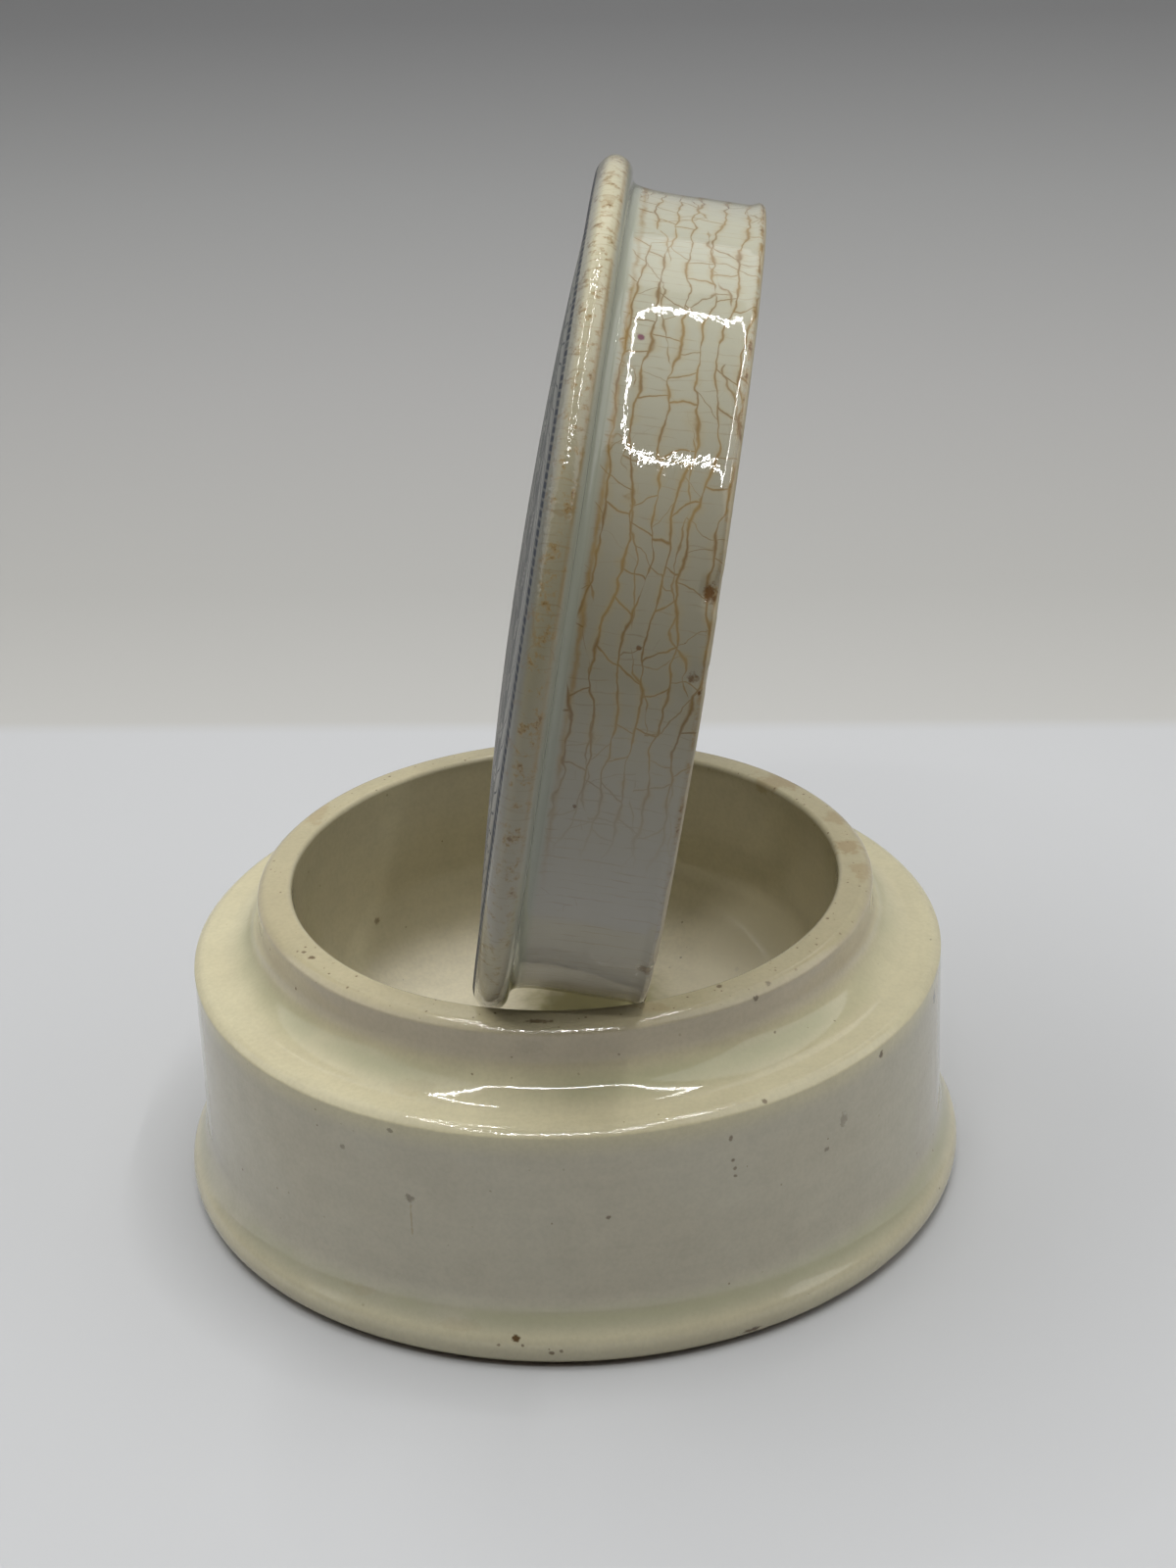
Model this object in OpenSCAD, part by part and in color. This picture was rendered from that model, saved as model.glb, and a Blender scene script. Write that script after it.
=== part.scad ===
// Cold cream pot of two glazed pieces: a turned pot and its lid.
// The lid stands on edge in the pot's mouth, as it is put down while the pot is in use.
// Closed, its skirt goes over the neck and its lip rests on the shoulder.
// Millimetres. Z is the pot's axis, and the origin is the middle of the face it stands on.

/* [Mouth and rim] */
// Diameter of the mouth
mouth_d = 52.5; // [46:0.5:60]
// Width of the rim, from the mouth to the outside of the neck
rim_w = 3.35; // [2.4:0.05:5]
// Radius of the rim's inner edge
rim_inner_r = 0.5; // [0.3:0.1:0.9]
// Radius of the rim's outer edge
rim_outer_r = 0.9; // [0.5:0.1:1.2]
// Fall of the rim's flat towards its outer edge, in degrees
rim_slope = 5; // [0:0.5:10]

/* [Neck and shoulder] */
// Height of the neck above the shoulder's edge
neck_h = 6.9; // [6:0.1:10]
// Radius of the hollow between the neck and the shoulder
neck_hollow_r = 4; // [2.5:0.1:4.8]
// Width of the shoulder, from the neck to the wall
shoulder_w = 6.6; // [6:0.1:9]
// Fall of the shoulder towards its edge, in degrees
shoulder_slope = 4; // [1:0.5:8]
// Radius of the shoulder's edge
shoulder_edge_r = 0.9; // [0.4:0.1:1.4]

/* [Wall and foot] */
// Height of the wall's top edge
wall_h = 24.3; // [21:0.1:32]
// How far the foot bead stands out from the wall
foot_proud = 1.8; // [1:0.1:3]
// Radius of the foot bead's section
foot_bead_r = 2.1; // [1.6:0.1:2.8]
// Radius of the hollow that runs from the wall into the foot bead
flare_r = 6; // [3:0.5:9]

/* [Inside and underside] */
// Thickness of the floor, over the recess
floor_t = 6.3; // [4:0.1:8]
// Radius between the inner wall and the floor
inside_corner_r = 9; // [3:0.5:11]
// Width of the ring that the pot stands on
standing_w = 4.2; // [3:0.1:7]
// Depth of the recess within the foot ring
recess_depth = 4.4; // [3.4:0.1:5.5]
// Radius in the recess's corner
recess_corner_r = 2.2; // [1:0.1:2.6]
// Radius of the foot ring's inner edge
ring_edge_r = 0.6; // [0.3:0.1:1]

/* [Lid, outside] */
// Thickness of the skirt's wall
skirt_t = 3.25; // [2.4:0.05:5]
// How far the lip flares out past the top of the skirt
lip_flare = 0.1; // [0:0.05:0.4]
// How far the skirt is drawn in between the lip and the bead
skirt_waist = 0.25; // [0:0.05:0.4]
// How far the bead stands out from the skirt
bead_proud = 2.45; // [1.6:0.05:3]
// Radius of the bead's section
bead_r = 1.7; // [1.4:0.05:2.2]
// Radius of the groove under the bead
groove_r = 0.8; // [0.5:0.1:1.2]
// Thickness of the lid at its bead, from the ceiling to the top of the bead
face_t = 4; // [3:0.1:6]
// Rise of the face from the bead to its middle
crown_h = 1.9; // [0.8:0.1:3]

/* [Lid, inside] */
// Radius of the lip's inner and outer edge
lip_edge_r = 0.6; // [0.3:0.1:0.9]
// Room between the lip and the hollow at the foot of the neck, when the lid is on
neck_play = 0.4; // [0.2:0.1:0.8]
// Room between the rim and the lid's ceiling, when the lid is on
head_room = 4.8; // [3:0.1:7]
// Radius between the skirt and the ceiling
ceiling_corner_r = 3; // [1:0.5:5]
// Rise of the ceiling to its middle
ceiling_rise = 0.9; // [0.2:0.1:1.6]

/* [Standing lid] */
// How far the standing lid is from the pot's axis, measured at the rim
lid_offset = 2.3; // [-2:0.1:4]
// Room between the standing lid and the rim that carries it
seat_gap = 0.25; // [0.15:0.05:0.35]

/* [Hidden] */

POT_GLAZE = "#ddd8be";
LID_GLAZE = "#dfe1da";

// Angle between neighbouring points of an arc, and the fewest steps in one
arc_step = 9;
arc_min_steps = 6;
// How far the bead's round runs past its top, down to the face
bead_return = 30;
// Flats that stand for a full turn when the model is shown as a mesh
$fn = 144;

// Pot: radii out from the mouth, and heights up from the face it stands on
mouth_r = mouth_d / 2;
neck_r = mouth_r + rim_w;
wall_r = neck_r + shoulder_w;
foot_bead_x = wall_r + foot_proud - foot_bead_r;
ring_inner_r = foot_bead_x - standing_w;
floor_z = recess_depth + floor_t;
pot_h = wall_h + neck_h;

// Lid: radii out from the neck it goes over, and heights up from its lip
bore_r = neck_r + neck_hollow_r + neck_play;
skirt_r = bore_r + skirt_t;
lip_r = skirt_r + lip_flare;
bead_x = skirt_r + bead_proud - bead_r;
ceiling_z = neck_h + head_room;
bead_z = ceiling_z + face_t - bead_r;
face_r = bead_x - bead_r * sin(bead_return);
face_z = bead_z + bead_r * cos(bead_return);

// Points along an arc about [x, z], from one angle to another
function arc(x, z, r, from, to) =
    let (steps = max(arc_min_steps, ceil(abs(to - from) / arc_step)))
    [for (i = [0:steps]) let (a = from + (to - from) * i / steps) [x + r * cos(a), z + r * sin(a)]];

// Radius of the shallow arc that rises by rise over a half width
function crown_radius(half, rise) = (half * half + rise * rise) / (2 * rise);

// Height between the centres of two arcs that touch, x apart
function touching_z(x, reach) = sqrt(reach * reach - x * x);

// Foot bead, then the hollow that leads up from it into the wall
function foot_outline() =
    let (hollow_x = wall_r + flare_r,
         rise = touching_z(hollow_x - foot_bead_x, flare_r + foot_bead_r),
         meet = atan2(rise, hollow_x - foot_bead_x))
    concat(arc(foot_bead_x, foot_bead_r, foot_bead_r, -90, meet),
           arc(hollow_x, foot_bead_r + rise, flare_r, meet + 180, 180));

// Edge of the shoulder, its sloping flat and the hollow up to the neck
function shoulder_outline() =
    let (edge_x = wall_r - shoulder_edge_r,
         edge_z = wall_h - shoulder_edge_r,
         flat_x = edge_x + shoulder_edge_r * sin(shoulder_slope),
         flat_z = edge_z + shoulder_edge_r * cos(shoulder_slope),
         hollow_x = neck_r + neck_hollow_r,
         toe_x = hollow_x - neck_hollow_r * sin(shoulder_slope),
         toe_z = flat_z + (flat_x - toe_x) * tan(shoulder_slope))
    concat(arc(edge_x, edge_z, shoulder_edge_r, 0, 90 - shoulder_slope),
           arc(hollow_x, toe_z + neck_hollow_r * cos(shoulder_slope), neck_hollow_r,
               270 - shoulder_slope, 180));

// Rim, from its outer edge over the sloping flat to its inner edge
function rim_outline() =
    let (inner_x = mouth_r + rim_inner_r,
         inner_z = pot_h - rim_inner_r,
         outer_x = neck_r - rim_outer_r,
         run = outer_x - inner_x + (rim_outer_r - rim_inner_r) * sin(rim_slope),
         fall = run * tan(rim_slope),
         outer_z = inner_z - (rim_outer_r - rim_inner_r) * cos(rim_slope) - fall)
    concat(arc(outer_x, outer_z, rim_outer_r, 0, 90 - rim_slope),
           arc(inner_x, inner_z, rim_inner_r, 90 - rim_slope, 180));

// Inner wall, round the corner and over the floor to the axis
function inside_outline() =
    concat(arc(mouth_r - inside_corner_r, floor_z + inside_corner_r, inside_corner_r, 360, 270),
           [[0, floor_z]]);

// Recess in the underside and the inner edge of the foot ring
function underside_outline() =
    concat([[0, recess_depth]],
           arc(ring_inner_r - recess_corner_r, recess_depth - recess_corner_r, recess_corner_r, 90, 0),
           arc(ring_inner_r + ring_edge_r, ring_edge_r, ring_edge_r, 180, 270));

// Half section of the pot
module pot_section() {
    polygon(concat(underside_outline(), foot_outline(), shoulder_outline(),
                   rim_outline(), inside_outline()));
}

// Ceiling of the lid, its corner and the lip
function lid_inside_outline() =
    let (half = bore_r - ceiling_corner_r,
         round_r = crown_radius(half, ceiling_rise))
    concat(arc(0, ceiling_z + ceiling_rise - round_r, round_r, 90, acos(half / round_r)),
           arc(half, ceiling_z - ceiling_corner_r, ceiling_corner_r, 90, 0),
           arc(bore_r + lip_edge_r, lip_edge_r, lip_edge_r, 180, 270),
           arc(lip_r - lip_edge_r, lip_edge_r, lip_edge_r, 270, 360));

// Waisted skirt between the lip and the groove
function skirt_outline(top_z) =
    [for (t = [0.1:0.1:0.9])
        [lip_r + (skirt_r - lip_r) * t - 4 * skirt_waist * t * (1 - t),
         lip_edge_r + (top_z - lip_edge_r) * t]];

// Groove, bead and crowned face
function lid_top_outline(groove_x, groove_z) =
    let (meet = atan2(bead_z - groove_z, bead_x - groove_x),
         round_r = crown_radius(face_r, crown_h))
    concat(arc(groove_x, groove_z, groove_r, 180, meet),
           arc(bead_x, bead_z, bead_r, meet - 180, 90 + bead_return),
           arc(0, face_z + crown_h - round_r, round_r, acos(face_r / round_r), 90));

// Half section of the lid, with the lip at the bottom
module lid_section() {
    groove_x = skirt_r + groove_r;
    groove_z = bead_z - touching_z(bead_x - groove_x, groove_r + bead_r);
    polygon(concat(lid_inside_outline(), skirt_outline(groove_z), lid_top_outline(groove_x, groove_z)));
}

// The standing lid is carried by the rim at four points: its bead crosses the rim on one side of
// the pot's axis and its lip on the other. The lid's pose is [lean, height]: the lean of its face
// from upright, and the height of the point on its middle plane that lies at the rim.
seat_sink = sqrt(lip_r * lip_r - mouth_r * mouth_r);
seat_mid_z = bead_z / 2;

// Point at an angle round a circle of the lid, counted from the circle's lowest point
function lid_point(pose, r, z, angle) =
    let (along = z - seat_mid_z,
         up = seat_sink - r * cos(angle))
    [lid_offset - along * cos(pose[0]) + up * sin(pose[0]),
     r * sin(angle),
     pose[1] + along * sin(pose[0]) + up * cos(pose[0])];

// Distance of a point from the circle at the middle of the rim's inner edge
function rim_distance(p) =
    norm([norm([p[0], p[1]]) - mouth_r - rim_inner_r, p[2] - pot_h + rim_inner_r]);

// Least distance of a circle of the lid from the rim, found by closing in on its angle
function circle_distance(pose, r, z, low = 0, high = 90, passes = 24) =
    let (a = low + (high - low) / 3,
         b = high - (high - low) / 3)
    passes == 0 ? rim_distance(lid_point(pose, r, z, (low + high) / 2))
    : rim_distance(lid_point(pose, r, z, a)) < rim_distance(lid_point(pose, r, z, b))
        ? circle_distance(pose, r, z, low, b, passes - 1)
        : circle_distance(pose, r, z, a, high, passes - 1);

// The lid starts above the rim, and each pass lowers its bead and its lip by what is left under them
function seated(pose, passes = 24) =
    let (bead_left = circle_distance(pose, bead_x, bead_z) - bead_r - rim_inner_r - seat_gap,
         lip_left = circle_distance(pose, lip_r - lip_edge_r, lip_edge_r)
                    - lip_edge_r - rim_inner_r - seat_gap)
    passes == 0 ? pose
    : seated([pose[0] + atan((lip_left - bead_left) / bead_z), pose[1] - (lip_left + bead_left) / 2],
             passes - 1);

seat = seated([0, pot_h + bead_z]);
lean = seat[0];
lid_place = [lid_offset + seat_mid_z * cos(lean) + seat_sink * sin(lean), 0,
             seat[1] - seat_mid_z * sin(lean) + seat_sink * cos(lean)];

// Pot: foot, wall, shoulder, neck and rim in one turned piece
module pot() {
    color(POT_GLAZE) rotate_extrude() pot_section();
}

// Lid: skirt, bead and face in one turned piece, standing on edge in the mouth
module lid() {
    color(LID_GLAZE) translate(lid_place) rotate([0, lean - 90, 0]) rotate_extrude() lid_section();
}

pot();
lid();
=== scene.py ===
"""Looks of a cold cream pot: a turned, glazed pot whose printed lid stands on edge in the mouth.

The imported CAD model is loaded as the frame. Both of its pieces are turned again here with a finer
surface, at the same sizes, and dressed in glaze, crazing, stains, pits, worn biscuit and print.
Sizes are millimetres unless a name says otherwise, and become metres where a mesh is made.
"""

import logging
import math
from collections.abc import Sequence
from dataclasses import dataclass
from enum import Enum

import bpy
from mathutils import Euler, Matrix, Vector


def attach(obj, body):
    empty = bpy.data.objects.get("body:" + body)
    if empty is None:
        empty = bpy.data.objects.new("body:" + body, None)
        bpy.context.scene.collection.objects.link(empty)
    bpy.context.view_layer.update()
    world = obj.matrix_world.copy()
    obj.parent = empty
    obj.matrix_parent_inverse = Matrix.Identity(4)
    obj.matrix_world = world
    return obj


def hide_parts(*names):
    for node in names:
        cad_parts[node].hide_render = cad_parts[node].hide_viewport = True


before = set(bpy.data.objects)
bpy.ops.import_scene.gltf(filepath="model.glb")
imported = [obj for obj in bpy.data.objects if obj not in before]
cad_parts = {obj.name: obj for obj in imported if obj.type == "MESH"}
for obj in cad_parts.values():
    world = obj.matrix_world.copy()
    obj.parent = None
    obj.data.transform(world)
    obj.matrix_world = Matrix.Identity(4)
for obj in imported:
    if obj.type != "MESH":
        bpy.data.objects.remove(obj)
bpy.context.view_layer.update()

LOG = logging.getLogger("cold_cream_pot")
MM = 0.001
DEGREES_A_STEP = 5
EDGE_BENDS = ((0.0, 0.4), (44.0, 3.5), (53.0, 1.0), (67.0, 2.5), (75.0, 0.4))

Point = tuple[float, float]
Triple = tuple[float, float, float]


def linear(code: str) -> tuple[float, float, float, float]:
    """Turn a display colour into the linear colour that a shader takes.

    Args:
        code: The colour as six hexadecimal digits.

    Returns:
        Red, green, blue and an alpha of 1.
    """
    parts = [int(code[i:i + 2], 16) / 255 for i in (0, 2, 4)]
    made = [c / 12.92 if c <= 0.04045 else ((c + 0.055) / 1.055) ** 2.4 for c in parts]
    return (made[0], made[1], made[2], 1.0)


# Turning

def arc(x: float, z: float, radius: float, start: float, end: float, fewest: int = 8) -> list[Point]:
    """Points along an arc of the half section.

    Args:
        x: Radius from the axis to the arc's centre.
        z: Height of the arc's centre.
        radius: The arc's own radius.
        start: Angle of the first point, in degrees.
        end: Angle of the last point, in degrees.
        fewest: The least number of steps.

    Returns:
        The points, both ends included.
    """
    steps = max(fewest, math.ceil(abs(end - start) / DEGREES_A_STEP))
    angles = [math.radians(start + (end - start) * i / steps) for i in range(steps + 1)]
    return [(x + radius * math.cos(a), z + radius * math.sin(a)) for a in angles]


def chained(stretches: Sequence[Triple]) -> list[Point]:
    """Arcs that run on into each other without a bend.

    Args:
        stretches: Start and end angle of each arc, in degrees, and its radius.

    Returns:
        The points, from 0, 0 on.
    """
    made = [(0.0, 0.0)]
    for start, stop, radius in stretches:
        x, z = made[-1]
        turn = math.radians(start)
        made += arc(x - radius * math.cos(turn), z - radius * math.sin(turn), radius, start, stop, 4)[1:]
    return made


def eased(x: float, z: float, radius: float, end: float) -> list[Point]:
    """A rounded outer edge that is flattest where it mirrors the lamps.

    EDGE_BENDS says from which angle on it is bent how much less or more than the plain arc.

    Args:
        x: Radius from the axis to the centre of the plain arc that it stands for.
        z: Height of that centre.
        radius: Radius of that arc.
        end: Angle at which the arc ends, in degrees; it starts at 0.

    Returns:
        The points, both ends on the lines that the plain arc would touch.
    """
    starts, shares = zip(*EDGE_BENDS)
    made = chained([(start, stop, radius * share)
                    for start, stop, share in zip(starts, (*starts[1:], end), shares)])
    end_x, end_z = x + radius + made[-1][0], made[-1][1]
    touch_x = x + radius * math.cos(math.radians(end))
    touch_z = z + radius * math.sin(math.radians(end))
    lift = touch_z + (touch_x - end_x) * math.tan(math.radians(90 - end)) - end_z
    return [(x + radius + px, pz + lift) for px, pz in made]


def crown_radius(half: float, rise: float) -> float:
    """Radius of the shallow arc that rises by rise over a half width."""
    return (half * half + rise * rise) / (2 * rise)


def refined(outline: Sequence[Point], longest: float) -> list[Point]:
    """Cut the long straight runs of an outline into shorter ones.

    Args:
        outline: The points of the half section.
        longest: The longest run that is left.

    Returns:
        The outline with points added.
    """
    made = [outline[0]]
    for (x0, z0), (x1, z1) in zip(outline, outline[1:]):
        cuts = max(1, math.ceil(math.hypot(x1 - x0, z1 - z0) / longest))
        made += [(x0 + (x1 - x0) * i / cuts, z0 + (z1 - z0) * i / cuts) for i in range(1, cuts + 1)]
    return made


@dataclass(frozen=True)
class Chip:
    """A place on an edge where the ware is knocked away."""

    angle: float
    radius: float
    height: float
    reach: float
    depth: float


class TurnedPiece:
    """A piece of pottery turned on the wheel: a half section carried round its axis."""

    name: str
    node: str
    slot_name: str
    sector = math.pi / 4
    sector_steps = 45
    longest_run = 1.6
    weld_m = 2e-6
    crease = math.radians(50)
    wobble = 0.09
    wobble_size = 17.0
    chips: tuple[Chip, ...] = ()

    def outline(self) -> list[Point]:
        """Points of the half section, from the axis to the axis."""
        raise NotImplementedError

    def place(self) -> Matrix:
        """Where the piece's own axes stand in the shared frame, in metres."""
        return Matrix.Identity(4)

    def build(self) -> bpy.types.Object:
        """Turn the piece, give it the unevenness of hand work and set it in place.

        Returns:
            The finished piece, smooth, with its object at the origin.
        """
        piece = self.turn(refined(self.outline(), self.longest_run))
        self.uneven(piece)
        for chip in self.chips:
            self.knock(piece, chip)
        piece.matrix_world = self.place()
        bpy.ops.object.transform_apply(location=True, rotation=True, scale=True)
        bpy.ops.object.shade_smooth_by_angle(angle=self.crease)
        return piece

    def turn(self, outline: Sequence[Point]) -> bpy.types.Object:
        """Draw the half section point by point and spin it round.

        Args:
            outline: The points of the half section.

        Returns:
            The closed mesh, selected and active.
        """
        bpy.ops.object.select_all(action="DESELECT")
        start = (outline[0][0] * MM, 0, outline[0][1] * MM)
        bpy.ops.mesh.primitive_plane_add(size=MM, location=start)
        piece = bpy.context.object
        piece.name = self.name
        piece.data.name = self.name
        bpy.ops.object.transform_apply(location=True, rotation=False, scale=False)
        bpy.ops.object.mode_set(mode="EDIT")
        bpy.ops.mesh.select_mode(type="VERT")
        bpy.ops.mesh.select_all(action="SELECT")
        bpy.ops.mesh.merge(type="CENTER")
        for (x0, z0), (x1, z1) in zip(outline, outline[1:]):
            step = ((x1 - x0) * MM, 0, (z1 - z0) * MM)
            bpy.ops.mesh.extrude_vertices_move(TRANSFORM_OT_translate={"value": step})
        bpy.ops.mesh.select_all(action="SELECT")
        bpy.ops.mesh.spin(steps=self.sector_steps, angle=self.sector, center=(0, 0, 0), axis=(0, 0, 1))
        for copies in (1, 2, 4):
            bpy.ops.mesh.select_all(action="SELECT")
            bpy.ops.mesh.duplicate()  # the copy is what stays selected
            bpy.ops.transform.rotate(value=self.sector * copies, orient_axis="Z", orient_type="GLOBAL",
                                     center_override=(0, 0, 0))
        bpy.ops.mesh.select_all(action="SELECT")
        bpy.ops.mesh.remove_doubles(threshold=self.weld_m)
        bpy.ops.mesh.normals_make_consistent(inside=False)
        bpy.ops.object.mode_set(mode="OBJECT")
        return piece

    def uneven(self, piece: bpy.types.Object) -> None:
        """Give the surface the slow waves that a hand leaves in turned ware.

        Args:
            piece: The turned mesh, selected and active.
        """
        waves = bpy.data.textures.new(f"{self.name}_waves", "CLOUDS")
        waves.noise_scale = self.wobble_size * MM
        waves.noise_depth = 1
        shift = piece.modifiers.new("waves", "DISPLACE")
        shift.texture = waves
        shift.texture_coords = "LOCAL"
        shift.strength = self.wobble * MM
        bpy.ops.object.modifier_apply(modifier=shift.name)

    def knock(self, piece: bpy.types.Object, chip: Chip) -> None:
        """Press a chip into an edge, before the piece is set in place.

        Args:
            piece: The turned mesh, selected and active.
            chip: Where the chip is and how deep it goes.
        """
        turn = math.radians(chip.angle)
        centre = Vector((chip.radius * math.cos(turn), chip.radius * math.sin(turn), chip.height)) * MM
        bpy.ops.object.mode_set(mode="EDIT")
        bpy.ops.mesh.select_all(action="DESELECT")
        bpy.ops.object.mode_set(mode="OBJECT")
        nearest = min(piece.data.vertices, key=lambda v: (v.co - centre).length_squared)
        inward = -nearest.normal * chip.depth * MM
        nearest.select = True
        bpy.ops.object.mode_set(mode="EDIT")
        bpy.ops.transform.translate(value=inward, use_proportional_edit=True,
                                    proportional_edit_falloff="SPHERE",
                                    proportional_size=chip.reach * MM)
        bpy.ops.object.mode_set(mode="OBJECT")


@dataclass
class Pot(TurnedPiece):
    """The pot: foot bead, wall, shoulder, neck, rim, inside and recessed underside."""

    name: str = "pot_body"
    node: str = "pot"
    slot_name: str = "cream_glaze"
    mouth_r: float = 26.25
    rim_w: float = 3.35
    rim_inner_r: float = 0.5
    rim_outer_r: float = 0.9
    rim_slope: float = 5.0
    height: float = 31.2
    wall_h: float = 24.3
    wall_r: float = 36.2
    hollow_bends: tuple[Triple, ...] = ((266.0, 255.0, 2.0), (255.0, 226.0, 5.2), (226.0, 180.0, 3.6))
    shoulder_slope: float = 4.0
    shoulder_edge_r: float = 0.9
    foot_bead_x: float = 35.9
    foot_bead_r: float = 2.1
    flare_r: float = 6.0
    floor_z: float = 10.7
    inside_corner_r: float = 9.0
    recess_depth: float = 4.4
    recess_corner_r: float = 2.2
    ring_inner_r: float = 31.7
    ring_edge_r: float = 0.6

    def outline(self) -> list[Point]:
        """Points of the half section, from the recess round the outside to the floor."""
        return self.underside() + self.foot() + self.shoulder() + self.rim() + self.inside()

    def underside(self) -> list[Point]:
        """The recess and the inner edge of the foot ring."""
        corner, edge = self.recess_corner_r, self.ring_edge_r
        return ([(0.0, self.recess_depth)]
                + arc(self.ring_inner_r - corner, self.recess_depth - corner, corner, 90, 0)
                + arc(self.ring_inner_r + edge, edge, edge, 180, 270))

    def foot(self) -> list[Point]:
        """The foot bead and the hollow that leads up from it into the wall.

        Returns:
            The points, from the ring that it stands on upwards.
        """
        hollow_x = self.wall_r + self.flare_r
        across = hollow_x - self.foot_bead_x
        rise = math.sqrt((self.flare_r + self.foot_bead_r) ** 2 - across ** 2)
        meet = math.degrees(math.atan2(rise, across))
        return (arc(self.foot_bead_x, self.foot_bead_r, self.foot_bead_r, -90, meet)
                + arc(hollow_x, self.foot_bead_r + rise, self.flare_r, meet + 180, 180))

    def shoulder(self) -> list[Point]:
        """The shoulder's edge, its sloping flat and the hollow up to the neck.

        Returns:
            The points, from the wall inwards.
        """
        slope = math.radians(self.shoulder_slope)
        edge_x = self.wall_r - self.shoulder_edge_r
        edge_z = self.wall_h - self.shoulder_edge_r
        flat_x = edge_x + self.shoulder_edge_r * math.sin(slope)
        flat_z = edge_z + self.shoulder_edge_r * math.cos(slope)
        hollow = chained(self.hollow_bends)
        toe_x = self.mouth_r + self.rim_w - hollow[-1][0]
        toe_z = flat_z + (flat_x - toe_x) * math.tan(slope)
        return (eased(edge_x, edge_z, self.shoulder_edge_r, 90 - self.shoulder_slope)
                + [(toe_x + x, toe_z + z) for x, z in hollow])

    def rim(self) -> list[Point]:
        """The rim.

        Returns:
            The points, from its outer edge over the sloping flat to its inner edge.
        """
        slope = math.radians(self.rim_slope)
        inner_x = self.mouth_r + self.rim_inner_r
        inner_z = self.height - self.rim_inner_r
        outer_x = self.mouth_r + self.rim_w - self.rim_outer_r
        wider = self.rim_outer_r - self.rim_inner_r
        fall = (outer_x - inner_x + wider * math.sin(slope)) * math.tan(slope)
        outer_z = inner_z - wider * math.cos(slope) - fall
        return (eased(outer_x, outer_z, self.rim_outer_r, 90 - self.rim_slope)
                + arc(inner_x, inner_z, self.rim_inner_r, 90 - self.rim_slope, 180))

    def inside(self) -> list[Point]:
        """The inner wall, its round corner and the floor."""
        corner = self.inside_corner_r
        return (arc(self.mouth_r - corner, self.floor_z + corner, corner, 360, 270)
                + [(0.0, self.floor_z)])


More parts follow.
